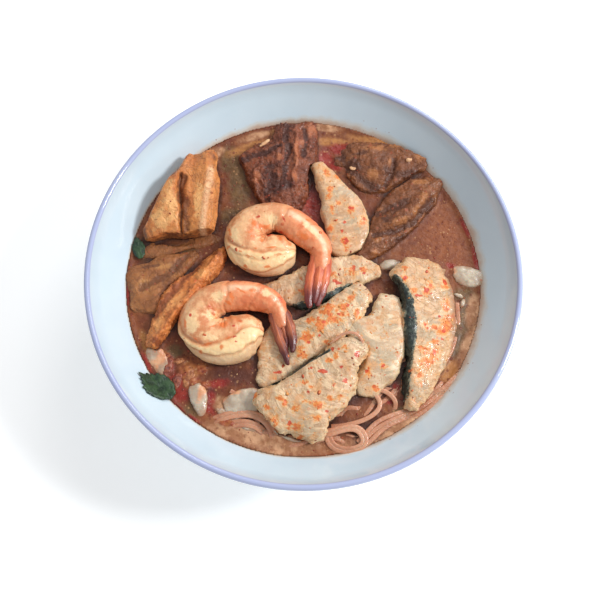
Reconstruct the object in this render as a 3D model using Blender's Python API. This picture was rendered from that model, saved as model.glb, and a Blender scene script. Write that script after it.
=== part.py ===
"""A bowl of laksa noodle soup: prawns, sliced fish and tofu puffs in coconut curry.

The bowl stands on its foot ring with its axis on +Z. The origin is the middle of
the ring on the table. The dimensions below are in millimetres, and the mesh is
built in metres. Each piece of food is skinned over cross sections along a spine,
and is cut away where a piece that lies on top of it, the bowl or the soup's
surface takes the room.
"""
import math
from dataclasses import dataclass

import bmesh
import bpy
from mathutils import Vector

MM = 0.001

# ---- Driving dimensions, in millimetres --------------------------------------
RIM_RADIUS = 105.0        # outside of the bowl's lip
RIM_HEIGHT = 62.0         # top of the lip above the table
LIP_RADIUS = 1.5          # rounding of the lip
BASE_TOP = 8.0            # lowest point of the bowl's inside
FLARE = 2.5               # power of the inside's curve; 1 would be a cone
WALL_AT_BASE = 4.4
FOOT_RADIUS = 39.0
FOOT_WIDTH = 5.0
FOOT_HEIGHT = 5.0
SOUP_LEVEL = 44.0
GAP = 0.3                 # kept between any two pieces
WALL_FILM = 1.2           # soup between the food and the bowl's wall
BOWL_STEPS = 44           # facets around everything turned
WALL_SHARES = (0.3, 0.48, 0.65, 0.82, 1.0)   # radii of the wall's facets below the soup's level
SLAB_ANGLES = (0, 35, 65, 90, 115, 145, 180, 235, 305)   # points in a cross section, with few below
PRAWN_POINTS = 10         # points in a cross section of a prawn

WALL_AT_LIP = 2 * LIP_RADIUS
INSIDE_RADIUS = RIM_RADIUS - WALL_AT_LIP
INSIDE_RISE = RIM_HEIGHT - LIP_RADIUS - BASE_TOP
LEVEL_RADIUS = INSIDE_RADIUS * ((SOUP_LEVEL - BASE_TOP) / INSIDE_RISE) ** (1.0 / FLARE)
SOUP_RADII = [LEVEL_RADIUS * share for share in WALL_SHARES]


# ---- Finishes ----------------------------------------------------------------
FINISHES = {
    # name: (colour, roughness)
    "white_glaze": ((0.80, 0.84, 0.88), 0.12),
    "curry": ((0.36, 0.14, 0.06), 0.18),
    "noodle": ((0.62, 0.36, 0.24), 0.35),
    "prawn_flesh": ((0.88, 0.50, 0.30), 0.35),
    "fish_flesh": ((0.80, 0.66, 0.46), 0.50),
    "fried_tofu": ((0.48, 0.20, 0.07), 0.60),
    "soaked_tofu": ((0.20, 0.07, 0.03), 0.40),
    "pale_flesh": ((0.72, 0.70, 0.62), 0.35),
}


def finish(name: str) -> bpy.types.Material:
    """Return the named finish, made on its first use."""
    if name in bpy.data.materials:
        return bpy.data.materials[name]
    colour, roughness = FINISHES[name]
    material = bpy.data.materials.new(name)
    material.use_nodes = True
    shader = material.node_tree.nodes["Principled BSDF"]
    shader.inputs["Base Color"].default_value = (*colour, 1.0)
    shader.inputs["Roughness"].default_value = roughness
    shader.inputs["Metallic"].default_value = 0.0
    return material


# ---- Meshes ------------------------------------------------------------------
def new_object(name: str, bm: bmesh.types.BMesh, material: str = "") -> bpy.types.Object:
    """Turn a closed bmesh, drawn in millimetres, into an object in metres."""
    bmesh.ops.recalc_face_normals(bm, faces=bm.faces)
    bmesh.ops.scale(bm, vec=Vector((MM, MM, MM)), verts=bm.verts)
    mesh = bpy.data.meshes.new(name)
    bm.to_mesh(mesh)
    bm.free()
    mesh.shade_smooth()
    mesh.set_sharp_from_angle(angle=math.radians(50))
    if material:
        mesh.materials.append(finish(material))
    piece = bpy.data.objects.new(name, mesh)
    bpy.context.scene.collection.objects.link(piece)
    return piece


def hide_as_guide(piece: bpy.types.Object) -> bpy.types.Object:
    """Keep an object for Booleans only."""
    piece.hide_render = True
    piece.display_type = "WIRE"
    return piece


def turned(outline: list[tuple[float, float]]) -> bmesh.types.BMesh:
    """Spin an outline of (radius, height) points about the bowl's axis.

    An outline that starts and ends on the axis is left open there, and any
    other outline is closed into a loop.
    """
    bm = bmesh.new()
    points = [bm.verts.new((radius, 0.0, height)) for radius, height in outline]
    edges = [bm.edges.new(pair) for pair in zip(points, points[1:])]
    if outline[0][0] > 0.0:
        edges.append(bm.edges.new((points[-1], points[0])))
    bmesh.ops.spin(bm, geom=points + edges, cent=(0, 0, 0), axis=(0, 0, 1),
                   angle=math.tau, steps=BOWL_STEPS, use_merge=True)
    bmesh.ops.remove_doubles(bm, verts=bm.verts, dist=0.001)
    return bm


def skinned(rings: list[list[Vector]]) -> bmesh.types.BMesh:
    """Skin a row of cross sections that have the same number of points.

    The skin is cut into triangles, so that the guide grown from it has the same folds.
    """
    bm = bmesh.new()
    rows = [[bm.verts.new(point) for point in ring] for ring in rings]
    count = len(rows[0])
    for near, far in zip(rows, rows[1:]):
        for i in range(count):
            j = (i + 1) % count
            bm.faces.new((near[i], near[j], far[j], far[i]))
    bm.faces.new(rows[0])
    bm.faces.new(rows[-1])
    bmesh.ops.triangulate(bm, faces=bm.faces)
    return bm


def blend(values: tuple[float, ...], share: float) -> float:
    """Read a row of evenly spaced values at a share of its length, eased between them."""
    place = min(max(share, 0.0), 1.0) * (len(values) - 1)
    index = min(int(place), len(values) - 2)
    step = place - index
    ease = step * step * (3.0 - 2.0 * step)
    return values[index] + (values[index + 1] - values[index]) * ease


# ---- Bowl and soup -----------------------------------------------------------
def inside_height(radius: float) -> float:
    """Height of the bowl's inside at a radius."""
    return BASE_TOP + INSIDE_RISE * (radius / INSIDE_RADIUS) ** FLARE


def offset_wall(radius: float, distance: float) -> tuple[float, float]:
    """Point at a distance from the bowl's inside, square to it; positive is outward."""
    slope = FLARE * (inside_height(radius) - BASE_TOP) / radius
    length = math.hypot(1.0, slope)
    return radius + distance * slope / length, inside_height(radius) - distance / length


def bowl_outline() -> list[tuple[float, float]]:
    """Outline of the bowl, from the middle of its inside round to its underside."""
    radii = [*SOUP_RADII, INSIDE_RADIUS]
    inside = [(0.0, BASE_TOP)] + [(radius, inside_height(radius)) for radius in radii]
    lip_middle = (INSIDE_RADIUS + LIP_RADIUS, RIM_HEIGHT - LIP_RADIUS)
    lip = [(lip_middle[0] - LIP_RADIUS * math.cos(angle), lip_middle[1] + LIP_RADIUS * math.sin(angle))
           for angle in (math.pi / 4, math.pi / 2, 3 * math.pi / 4, math.pi)]
    outside = []
    for radius in reversed(radii[1:-1]):
        share = radius / INSIDE_RADIUS
        outside.append(offset_wall(radius, WALL_AT_BASE + (WALL_AT_LIP - WALL_AT_BASE) * share))
    foot = [
        (FOOT_RADIUS, 0.6),
        (FOOT_RADIUS - 0.6, 0.0),
        (FOOT_RADIUS - FOOT_WIDTH + 0.6, 0.0),
        (FOOT_RADIUS - FOOT_WIDTH, 0.6),
        (FOOT_RADIUS - FOOT_WIDTH - 1.0, FOOT_HEIGHT - 1.0),
        (0.0, FOOT_HEIGHT - 1.6),
    ]
    return inside + lip + outside + foot


def soup_outline() -> list[tuple[float, float]]:
    """Outline of the soup: the bowl's inside, filled up to the level."""
    wall = [offset_wall(radius, -GAP) for radius in SOUP_RADII[:-1]]
    return [(0.0, wall[0][1]), *wall, (LEVEL_RADIUS - 1.5 * GAP, SOUP_LEVEL), (0.0, SOUP_LEVEL)]


def wall_guide_outline() -> list[tuple[float, float]]:
    """Outline of what food must stay out of: the bowl's wall and the film on it."""
    inside = [offset_wall(radius, -WALL_FILM) for radius in [*SOUP_RADII, INSIDE_RADIUS]]
    beyond = RIM_RADIUS + 10.0
    return inside + [(beyond, inside[-1][1]), (beyond, 1.0), (inside[0][0], 1.0)]


# ---- Food skinned along a spine ----------------------------------------------
@dataclass(frozen=True)
class Slab:
    """A piece of food skinned along a spine that is straight or an arc.

    Lengths are in millimetres, angles in degrees, and heights above the soup.
    The half widths run from the spine's start to its end.
    """

    name: str
    material: str
    start: tuple[float, float]
    heading: float
    length: float
    left: tuple[float, ...]
    right: tuple[float, ...]
    top: tuple[float, ...]
    thickness: float
    bend: float = 0.0        # how far the spine turns to the left over its length
    roll: float = 0.0        # how far the right side is lifted
    ridge: float = 0.0       # how far the middle of the top stands above its sides
    square: float = 3.0      # 2 is an ellipse, more is a squarer section
    stations: int = 8

    def rings(self) -> list[list[Vector]]:
        """Cross sections of the slab."""
        rings = []
        place = Vector((*self.start, SOUP_LEVEL))
        step = self.length / (self.stations - 1)
        for i in range(self.stations):
            share = i / (self.stations - 1)
            course = math.radians(self.heading + self.bend * share)
            rings.append(self.ring(place, course, share))
            middle = course + math.radians(self.bend) / (self.stations - 1) / 2
            place = place + step * Vector((math.cos(middle), math.sin(middle), 0.0))
        return rings

    def ring(self, place: Vector, course: float, share: float) -> list[Vector]:
        """One cross section, square to the spine at a share of its length."""
        end_round = 0.72 if share in (0.0, 1.0) else 1.0
        half_height = self.thickness / 2 * end_round
        middle_height = blend(self.top, share) - self.thickness / 2
        left_width = blend(self.left, share) * (0.5 + end_round / 2)
        right_width = blend(self.right, share) * (0.5 + end_round / 2)
        to_left = Vector((-math.sin(course), math.cos(course), 0.0))
        roll = math.radians(self.roll)
        points = []
        for degrees in SLAB_ANGLES:
            angle = math.radians(degrees)
            across = math.copysign(abs(math.cos(angle)) ** (2 / self.square), math.cos(angle))
            up = math.copysign(abs(math.sin(angle)) ** (2 / self.square), math.sin(angle))
            across *= left_width if across > 0 else right_width
            height = up * half_height + (self.ridge if degrees == 90 else 0.0)
            turned_across = across * math.cos(roll) + height * math.sin(roll)
            turned_height = height * math.cos(roll) - across * math.sin(roll)
            points.append(place + to_left * turned_across
                          + Vector((0.0, 0.0, middle_height + turned_height)))
        return points

    def build(self) -> bpy.types.Object:
        """Make the slab."""
        return new_object(self.name, skinned(self.rings()), self.material)


@dataclass(frozen=True)
class Prawn:
    """A peeled prawn with its tail on, curled up and lying on its side.

    The body is a tube on a circle that runs clockwise from the cut neck, and
    then unwinds outward to the tail, where three blades fan out.
    """

    name: str
    middle: tuple[float, float]
    turn: float              # degrees that the whole prawn is turned
    size: float              # 1 is a curl 36 mm across
    height: float            # of the tube's middle above the soup
    tail_height: float

    CURL = 10.0
    NECK_ANGLE = -25.0
    CURLED = 245.0           # degrees of the curl that are a circle
    UNWIND = 15.5
    UNWIND_POWER = 1.35
    TAIL_BASE = 352.0
    BLADE_LENGTH = 26.0

    def spine(self, travel: float) -> Vector:
        """Point on the spine after a clockwise travel in degrees from the neck."""
        free = max(travel - self.CURLED, 0.0) / 90.0
        radius = (self.CURL + self.UNWIND * free ** self.UNWIND_POWER) * self.size
        angle = math.radians(self.NECK_ANGLE + self.turn - travel)
        rise = max(travel - self.CURLED, 0.0) / (self.TAIL_BASE - self.CURLED)
        height = self.height + (self.tail_height - self.height) * rise
        return Vector((self.middle[0] + radius * math.cos(angle),
                       self.middle[1] + radius * math.sin(angle),
                       SOUP_LEVEL + height))

    def body(self) -> bmesh.types.BMesh:
        """The curled tube, with the groove left by the vein along its back."""
        half_widths = (7.4, 9.2, 9.4, 9.3, 8.9, 8.2, 7.2, 5.9, 4.3)
        half_heights = (5.6, 7.2, 7.6, 7.4, 6.8, 6.2, 5.4, 4.4, 3.2)
        stations = 15
        rings = []
        for i in range(stations):
            share = i / (stations - 1)
            travel = self.TAIL_BASE * share
            place = self.spine(travel)
            ahead = (self.spine(travel + 1.0) - self.spine(travel - 1.0)).normalized()
            outward = ahead.cross(Vector((0.0, 0.0, 1.0))).normalized() * -1.0
            width = blend(half_widths, share) * self.size
            height = blend(half_heights, share) * self.size
            groove = 0.80 if 0.05 < share < 0.6 else 1.0
            ring = []
            for k in range(PRAWN_POINTS):
                angle = math.tau * k / PRAWN_POINTS
                dent = groove if k == 0 else 1.0
                ring.append(place + outward * math.cos(angle) * width * dent
                            + Vector((0.0, 0.0, math.sin(angle) * height)))
            rings.append(ring)
        return skinned(rings)

    def blade(self, spread: float, shift: float) -> bmesh.types.BMesh:
        """One blade of the tail fan: a flat leaf that starts inside the tail's base."""
        root = self.spine(self.TAIL_BASE - 8.0)
        ahead = self.spine(self.TAIL_BASE + 14.0) - root
        course = math.atan2(ahead.y, ahead.x) + math.radians(spread)
        along = Vector((math.cos(course), math.sin(course), 0.0))
        side = Vector((-along.y, along.x, 0.0))
        half_widths = (2.4, 3.2, 3.4, 3.0, 1.3)
        points = 8
        rings = []
        for i, half_width in enumerate(half_widths):
            share = i / (len(half_widths) - 1)
            place = root + along * self.BLADE_LENGTH * self.size * share
            place += Vector((0.0, 0.0, shift))
            ring = []
            for k in range(points):
                angle = math.tau * k / points
                ring.append(place + side * math.cos(angle) * half_width * self.size
                            + Vector((0.0, 0.0, math.sin(angle) * (1.7 - 0.7 * share))))
            rings.append(ring)
        return skinned(rings)

    def build(self) -> bpy.types.Object:
        """Make the prawn: its body joined with the blades of its tail."""
        body = new_object(self.name, self.body(), "prawn_flesh")
        for index, (spread, shift) in enumerate(((-9.0, -0.5), (9.0, 0.4))):
            guide = hide_as_guide(new_object(f"{self.name}_blade_{index}", self.blade(spread, shift)))
            join = body.modifiers.new("tail", "BOOLEAN")
            join.operation = "UNION"
            join.solver = "EXACT"
            join.object = guide
        return body


# ---- The meal, from the top piece down ----------------------------------------
PRAWNS = (
    Prawn("prawn_upper", (-21.0, 17.7), 0.0, 1.0, 3.6, 6.6),
    Prawn("prawn_lower", (-40.5, -25.7), 22.0, 1.08, 3.4, 7.0),
)
SLABS = (
    Slab("fish_front", "fish_flesh", (27.7, -34.0), -139, 58,
         (6, 11, 16, 20, 23, 22, 10), (5, 7, 8, 9, 10, 12, 13), (12, 11.5, 10.5, 9), 11,
         roll=6, square=3.6),
    Slab("fish_right", "fish_flesh", (57.5, 9), -96, 75,
         (13, 20, 24, 23, 18, 12, 4), (9, 13, 7, 3.5, 2, 2, 3), (6.5, 7.5, 8, 6), 10,
         roll=17, square=3.6),
    Slab("fish_behind", "fish_flesh", (-21, -53.5), 43, 70,
         (4, 10, 10.5, 10, 8, 7.5, 6.5), (6, 8, 9, 11, 12, 10, 6.5), (3.5, 5.5, 6.5, 5.5), 9,
         roll=5, square=3.4),
    Slab("fish_pale", "fish_flesh", (43.5, -9.5), -103, 52,
         (6, 8.5, 10.5, 12, 11.5, 9, 4), (7, 8, 8, 9.5, 12, 11.5, 8), (5, 6, 6.5, 4), 9,
         square=3.4),
    Slab("fish_upper", "fish_flesh", (7, 62), -71, 52,
         (4, 7.5, 10.5, 14, 16, 13.5, 8), (3.5, 4, 5.5, 5.5, 6, 7.5, 8), (7, 7, 6, 4.5), 9,
         square=3.4),
    Slab("fish_middle", "fish_flesh", (-21, -5), 9, 60,
         (2.5, 3, 6.5, 9, 11, 7, 2.5), (6, 10, 14, 11, 8, 6, 4), (2, 4, 5, 4.5), 8,
         square=3.2),
    Slab("tofu_leaning", "fried_tofu", (-57, 17.5), 88, 48,
         (25, 24.5, 21.5, 18, 14, 9, 4), (12.5, 13.5, 14, 14, 14.5, 14, 13), (12.5, 13, 13, 12), 13,
         roll=9, ridge=-2.2, square=3.2),
    Slab("tofu_strip", "fried_tofu", (-72, -36), 58, 62,
         (6, 10, 11, 10, 7, 5, 3), (2, 2, 1.5, 3, 5, 5.5, 4), (5, 6.5, 6.5, 4.5), 11,
         ridge=1.0, square=2.6),
    Slab("tofu_dark", "soaked_tofu", (-11, 37), 88, 50,
         (11, 15, 20, 22, 20, 10, 4), (15, 17, 18, 18.5, 19, 18.5, 16), (6, 6.5, 6, 4.5), 13,
         ridge=1.4, square=3.0),
    Slab("tofu_back", "soaked_tofu", (11.5, 64.7), 0, 53,
         (8, 12, 13, 12.5, 11, 8.5, 5), (2, 6, 19, 21, 16, 9, 5), (3, 4, 5, 4.5), 11,
         ridge=0.8, square=3.0),
    Slab("tofu_right", "soaked_tofu", (27, 10.5), 45, 59,
         (3, 6, 10, 14, 15, 13, 8), (5, 7.5, 10, 10.5, 9, 9, 5), (4, 4.5, 5, 4), 11,
         ridge=1.0, square=2.8),
    Slab("tofu_flat", "fried_tofu", (-81, -12), 43, 38,
         (6.5, 12.5, 15.5, 12, 9, 6, 3.5), (6, 7, 6.5, 5.5, 5, 4, 3), (3, 3, 2.5), 9,
         square=2.8),
    Slab("tofu_sunk", "soaked_tofu", (-82, 13.3), 11, 43,
         (2.5, 6, 7, 7.5, 7, 6, 4), (3.5, 4.5, 4.5, 3.5, 3.5, 3, 2), (2, 2, 1.5), 7,
         square=2.6),
    Slab("pale_piece_right", "pale_flesh", (71.5, 3.2), -9, 15.5,
         (5.5, 6, 5.5, 4), (3, 6, 6, 4), (1.8, 2.2, 1.8), 5, square=2.4, stations=5),
    Slab("pale_piece_left", "pale_flesh", (-74.5, -34.5), -57, 17.5,
         (2.5, 5, 6, 4), (4, 5, 5, 4), (1.4, 1.8, 1.2), 5, square=2.4, stations=5),
    Slab("pale_piece_lower_left", "pale_flesh", (-52.5, -53.7), -73, 16,
         (4, 6, 4, 2), (3, 4, 3, 2), (2.0, 2.4, 1.2), 5, square=2.4, stations=5),
    Slab("pale_piece_front_left", "pale_flesh", (-38, -64), 11, 19.5,
         (4, 6.5, 7, 5.5), (4.5, 7.5, 8, 5), (1.6, 2.0, 1.6), 5, square=2.4, stations=5),
    Slab("pale_piece_front", "pale_flesh", (-18.5, -70), -29, 23,
         (3, 5, 4, 2), (2, 4, 4, 1.5), (1.2, 1.8, 1.2), 4, square=2.4, stations=5),
    Slab("pale_piece_middle", "pale_flesh", (38, 6.5), 8, 11,
         (2, 3, 3, 2), (2, 2.6, 2.6, 2), (2.2, 2.8, 2.2), 5, square=2.4, stations=4),
    Slab("noodle_bed", "noodle", (-33.8, -63.6), -28, 134,
         (7, 10, 11, 14, 12, 9, 8, 5), (6, 11, 12.5, 12, 12.5, 11, 11, 6),
         (0.8, 1.4, 1.0, 1.6, 1.2, 0.8), 7, bend=106, ridge=0.5, square=3.0, stations=12),
)


FILLS = ("noodle_bed", "soup")   # what lies between the other pieces


def reach(piece: bpy.types.Object) -> tuple[Vector, Vector]:
    """Lowest and highest corner of a piece's own mesh."""
    points = [vertex.co for vertex in piece.data.vertices]
    low = Vector(min(point[axis] for point in points) for axis in range(3))
    high = Vector(max(point[axis] for point in points) for axis in range(3))
    return low, high


def may_touch(one: bpy.types.Object, other: bpy.types.Object) -> bool:
    """Tell whether the boxes of two pieces come within the gap of each other."""
    low_one, high_one = reach(one)
    low_other, high_other = reach(other)
    return all(low_one[axis] < high_other[axis] + GAP * MM and low_other[axis] < high_one[axis] + GAP * MM
               for axis in range(3))


def grown(piece: bpy.types.Object) -> bpy.types.Object:
    """Make the guide that keeps other pieces clear of this one."""
    bm = bmesh.new()
    bm.from_mesh(piece.data)
    bm.normal_update()
    moves = [vertex.normal * min(vertex.calc_shell_factor(), 2.0) * GAP * 1.15 for vertex in bm.verts]
    for vertex, move in zip(bm.verts, moves):
        vertex.co = vertex.co / MM + move
    return hide_as_guide(new_object(f"{piece.name}_room", bm))


def cut(piece: bpy.types.Object, guide: bpy.types.Object) -> None:
    """Cut a guide's room out of a piece.

    The soup and the noodles lie round so many pieces that EXACT leaves a hole
    in them, so they take the other solver.
    """
    removal = piece.modifiers.new(guide.name, "BOOLEAN")
    removal.operation = "DIFFERENCE"
    removal.solver = "MANIFOLD" if piece.name in FILLS else "EXACT"
    removal.object = guide


def drop_scraps(piece: bpy.types.Object) -> None:
    """Apply a piece's cuts and keep its main body, without scraps left between its neighbours."""
    depsgraph = bpy.context.evaluated_depsgraph_get()
    bm = bmesh.new()
    bm.from_mesh(piece.evaluated_get(depsgraph).to_mesh())
    bodies = []
    waiting = set(bm.verts)
    while waiting:
        body = [waiting.pop()]
        for vertex in body:
            linked = {edge.other_vert(vertex) for edge in vertex.link_edges} & waiting
            waiting -= linked
            body.extend(linked)
        bodies.append(body)
    bodies.sort(key=len)
    for scrap in bodies[:-1]:
        bmesh.ops.delete(bm, geom=scrap, context="VERTS")
    piece.modifiers.clear()
    bm.to_mesh(piece.data)
    bm.free()


def cut_pieces(stack: list[bpy.types.Object]) -> None:
    """Cut every piece of a stack, listed from the top down, round those above it."""
    guides = []
    for piece in stack:
        for guide in guides:
            if may_touch(piece, guide):
                cut(piece, guide)
        guides.append(grown(piece))
        guides += [grown(join.object) for join in piece.modifiers if join.operation == "UNION"]
        if piece.name in FILLS:
            drop_scraps(piece)


def main() -> None:
    """Build the bowl, the food and the soup."""
    for leftover in list(bpy.data.objects):
        bpy.data.objects.remove(leftover)
    new_object("bowl", turned(bowl_outline()), "white_glaze")
    wall_guide = hide_as_guide(new_object("bowl_room", turned(wall_guide_outline())))
    prawns = [prawn.build() for prawn in PRAWNS]
    slabs = [slab.build() for slab in SLABS]
    for slab in slabs:
        low, high = reach(slab)
        if max(abs(low.x), abs(low.y), high.x, high.y) > 0.5 * INSIDE_RADIUS * MM:
            cut(slab, wall_guide)
    soup = new_object("soup", turned(soup_outline()), "curry")
    cut_pieces(prawns + slabs + [soup])


main()
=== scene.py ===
"""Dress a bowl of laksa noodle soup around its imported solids.

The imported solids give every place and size. The bowl, the prawns and the noodles are
modelled anew, and the fish, the tofu and the pale pieces are carved from copies of
their solids. Lengths are written in millimetres and turned into metres by MM.
"""

import logging
import math
import random
from collections.abc import Callable, Sequence
from dataclasses import dataclass, field
from enum import Enum

import bpy
import numpy as np
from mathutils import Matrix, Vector
from mathutils.bvhtree import BVHTree


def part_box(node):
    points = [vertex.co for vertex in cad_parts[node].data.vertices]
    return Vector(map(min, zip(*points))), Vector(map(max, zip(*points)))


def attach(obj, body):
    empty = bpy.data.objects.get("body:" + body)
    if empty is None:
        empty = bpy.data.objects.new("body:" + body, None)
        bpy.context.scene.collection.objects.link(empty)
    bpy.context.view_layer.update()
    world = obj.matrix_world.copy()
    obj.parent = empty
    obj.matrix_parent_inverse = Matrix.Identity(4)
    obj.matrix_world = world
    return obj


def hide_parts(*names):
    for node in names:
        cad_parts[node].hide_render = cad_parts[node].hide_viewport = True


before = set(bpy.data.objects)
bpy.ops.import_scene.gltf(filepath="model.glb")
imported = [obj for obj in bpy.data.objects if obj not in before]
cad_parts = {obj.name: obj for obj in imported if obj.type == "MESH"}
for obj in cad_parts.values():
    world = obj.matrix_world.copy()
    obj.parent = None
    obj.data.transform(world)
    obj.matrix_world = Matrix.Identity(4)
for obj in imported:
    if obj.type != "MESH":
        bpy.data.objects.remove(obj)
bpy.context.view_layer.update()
LOG = logging.getLogger("laksa")

MM = 0.001
SEED = 7

# Levels and radii, read from the boxes of the imported solids.
SOUP_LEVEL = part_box("soup")[1].z / MM
RIM_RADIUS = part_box("bowl")[1].x / MM
RIM_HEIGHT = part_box("bowl")[1].z / MM
SOUP_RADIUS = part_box("soup")[1].x / MM

Point = tuple[float, float]


def tone(red: int, green: int, blue: int) -> tuple[float, float, float, float]:
    """Turn a display colour of 0 to 255 into the linear colour that a shader takes.

    Args:
        red: Display red.
        green: Display green.
        blue: Display blue.

    Returns:
        The linear colour with full alpha.
    """
    shares = (channel / 255 for channel in (red, green, blue))
    return (*(((share + 0.055) / 1.055) ** 2.4 if share > 0.04 else share / 12.92
              for share in shares), 1.0)


# ---- Working on a mesh -------------------------------------------------------
def deselect() -> None:
    """Leave edit mode with nothing selected."""
    if bpy.context.mode != "OBJECT":
        bpy.ops.object.mode_set(mode="OBJECT")
    bpy.ops.object.select_all(action="DESELECT")


def take(piece: bpy.types.Object, edit: bool = False) -> None:
    """Make a piece the only selected and active object.

    Args:
        piece: The object.
        edit: Whether to go on in edit mode with all of its mesh selected.
    """
    deselect()
    piece.select_set(True)
    bpy.context.view_layer.objects.active = piece
    if edit:
        bpy.ops.object.mode_set(mode="EDIT")
        bpy.ops.mesh.select_all(action="SELECT")


def named(name: str) -> bpy.types.Object:
    """Name the primitive that was added last, and its mesh."""
    piece = bpy.context.object
    piece.name = name
    piece.data.name = name
    return piece


def settle(piece: bpy.types.Object) -> None:
    """Move a piece's place, turn and scale into its mesh."""
    take(piece)
    bpy.ops.object.transform_apply(location=True, rotation=True, scale=True)


def modify(piece: bpy.types.Object, kind: str, **settings: object) -> None:
    """Add a modifier to a piece and apply it.

    Args:
        piece: The object.
        kind: Blender's name of the modifier type.
        **settings: The modifier's settings.
    """
    take(piece)
    modifier = piece.modifiers.new(kind.title(), kind)
    for name, value in settings.items():
        setattr(modifier, name, value)
    bpy.ops.object.modifier_apply(modifier=modifier.name)


def remesh(piece: bpy.types.Object, voxel: float, smoothing: int) -> None:
    """Give a piece an even skin, fine enough to take relief.

    Args:
        piece: The object.
        voxel: Size of the new faces, in millimetres.
        smoothing: How many times to smooth it.
    """
    modify(piece, "REMESH", mode="VOXEL", voxel_size=voxel * MM)
    modify(piece, "SMOOTH", factor=0.5, iterations=smoothing)


def relief(piece: bpy.types.Object, pattern: str, size: float, height: float,
           guide: bpy.types.Object | None = None, **settings: object) -> None:
    """Raise and lower a piece's skin by a procedural pattern.

    Args:
        piece: The object.
        pattern: Blender's name of the texture type.
        size: Size of the pattern in millimetres, or in the guide's units.
        height: Height of the relief in millimetres, from lowest to highest.
        guide: An empty whose axes the pattern follows.
        **settings: The texture's other settings.
    """
    texture = bpy.data.textures.new(pattern.lower(), pattern)
    texture.noise_scale = size if guide else size * MM
    for name, value in settings.items():
        setattr(texture, name, value)
    modify(piece, "DISPLACE", texture=texture, strength=height * MM, mid_level=0.5,
           texture_coords="OBJECT" if guide else "LOCAL", texture_coords_object=guide)
    bpy.data.textures.remove(texture)


def points_of(piece: bpy.types.Object) -> np.ndarray:
    """Read a piece's points, in millimetres."""
    values = np.zeros(len(piece.data.vertices) * 3)
    piece.data.vertices.foreach_get("co", values)
    return values.reshape(-1, 3) / MM


def normals_of(piece: bpy.types.Object) -> np.ndarray:
    """Read a piece's normals at its points."""
    values = np.zeros(len(piece.data.vertices) * 3)
    piece.data.vertices.foreach_get("normal", values)
    return values.reshape(-1, 3)


def move_points(piece: bpy.types.Object, points: np.ndarray) -> None:
    """Write a piece's points, given in millimetres."""
    piece.data.vertices.foreach_set("co", (points * MM).ravel())
    piece.data.update()


def keep_values(piece: bpy.types.Object, name: str, values: np.ndarray) -> None:
    """Store a number or a vector at each point, for the piece's material to read.

    Args:
        piece: The object.
        name: Name of the attribute.
        values: One number, or one row of three, for each point.
    """
    kind = "FLOAT_VECTOR" if values.ndim == 2 else "FLOAT"
    attribute = piece.data.attributes.new(name, kind, "POINT")
    field_name = "vector" if values.ndim == 2 else "value"
    attribute.data.foreach_set(field_name, values.astype(np.float32).ravel())


def distance_to_line(points: np.ndarray, line: Sequence[Point]) -> np.ndarray:
    """Measure how far points lie from a bent line, seen from above.

    Args:
        points: Points in millimetres.
        line: The line's corners in millimetres.

    Returns:
        The distance of each point in millimetres.
    """
    nearest = np.full(len(points), np.inf)
    for start, end in zip(line, line[1:]):
        begin = np.array(start)
        run = np.array(end) - begin
        share = np.clip((points[:, :2] - begin) @ run / (run @ run), 0.0, 1.0)
        nearest = np.minimum(nearest, np.linalg.norm(points[:, :2] - begin - share[:, None] * run, axis=1))
    return nearest


@dataclass(frozen=True)
class Patch:
    """An oval patch seen from above: its middle and half sizes in millimetres, turned by degrees."""

    x: float
    y: float
    long: float
    short: float
    turn: float = 0.0

    def reach(self, points: np.ndarray) -> np.ndarray:
        """How much each point lies in the patch: 1 in its middle and 0 from its edge on."""
        angle = math.radians(self.turn)
        east, north = points[:, 0] - self.x, points[:, 1] - self.y
        along = (east * math.cos(angle) + north * math.sin(angle)) / self.long
        across = (north * math.cos(angle) - east * math.sin(angle)) / self.short
        return np.clip(1.25 - np.hypot(along, across), 0.0, 1.0)


def merged(patches: Sequence[Patch], points: np.ndarray) -> np.ndarray:
    """The strongest of several patches at each point."""
    if not patches:
        return np.zeros(len(points))
    return np.max([patch.reach(points) for patch in patches], axis=0)


def copy_of_node(node: str, name: str) -> bpy.types.Object:
    """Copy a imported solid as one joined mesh, to carve a piece from.

    Args:
        node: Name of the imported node.
        name: Name of the new piece.

    Returns:
        The new object, without a material.
    """
    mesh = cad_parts[node].data.copy()
    mesh.materials.clear()
    piece = bpy.data.objects.new(name, mesh)
    bpy.context.scene.collection.objects.link(piece)
    take(piece, edit=True)
    bpy.ops.mesh.remove_doubles(threshold=0.00001)
    deselect()
    return piece


def hand_over(piece: bpy.types.Object, material: bpy.types.Material, slot: str, *nodes: str) -> None:
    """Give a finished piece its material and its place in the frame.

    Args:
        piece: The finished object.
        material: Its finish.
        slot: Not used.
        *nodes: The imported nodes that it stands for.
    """
    piece.data.materials.clear()
    piece.data.materials.append(material)
    take(piece)
    bpy.ops.object.shade_smooth()
    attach(piece, "root")
    if nodes:
        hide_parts(*nodes)
    LOG.info("%s: %d faces", piece.name, len(piece.data.polygons))


# ---- Shader nodes ------------------------------------------------------------
Socket = bpy.types.NodeSocket
Value = Socket | float | tuple[float, ...]


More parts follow.
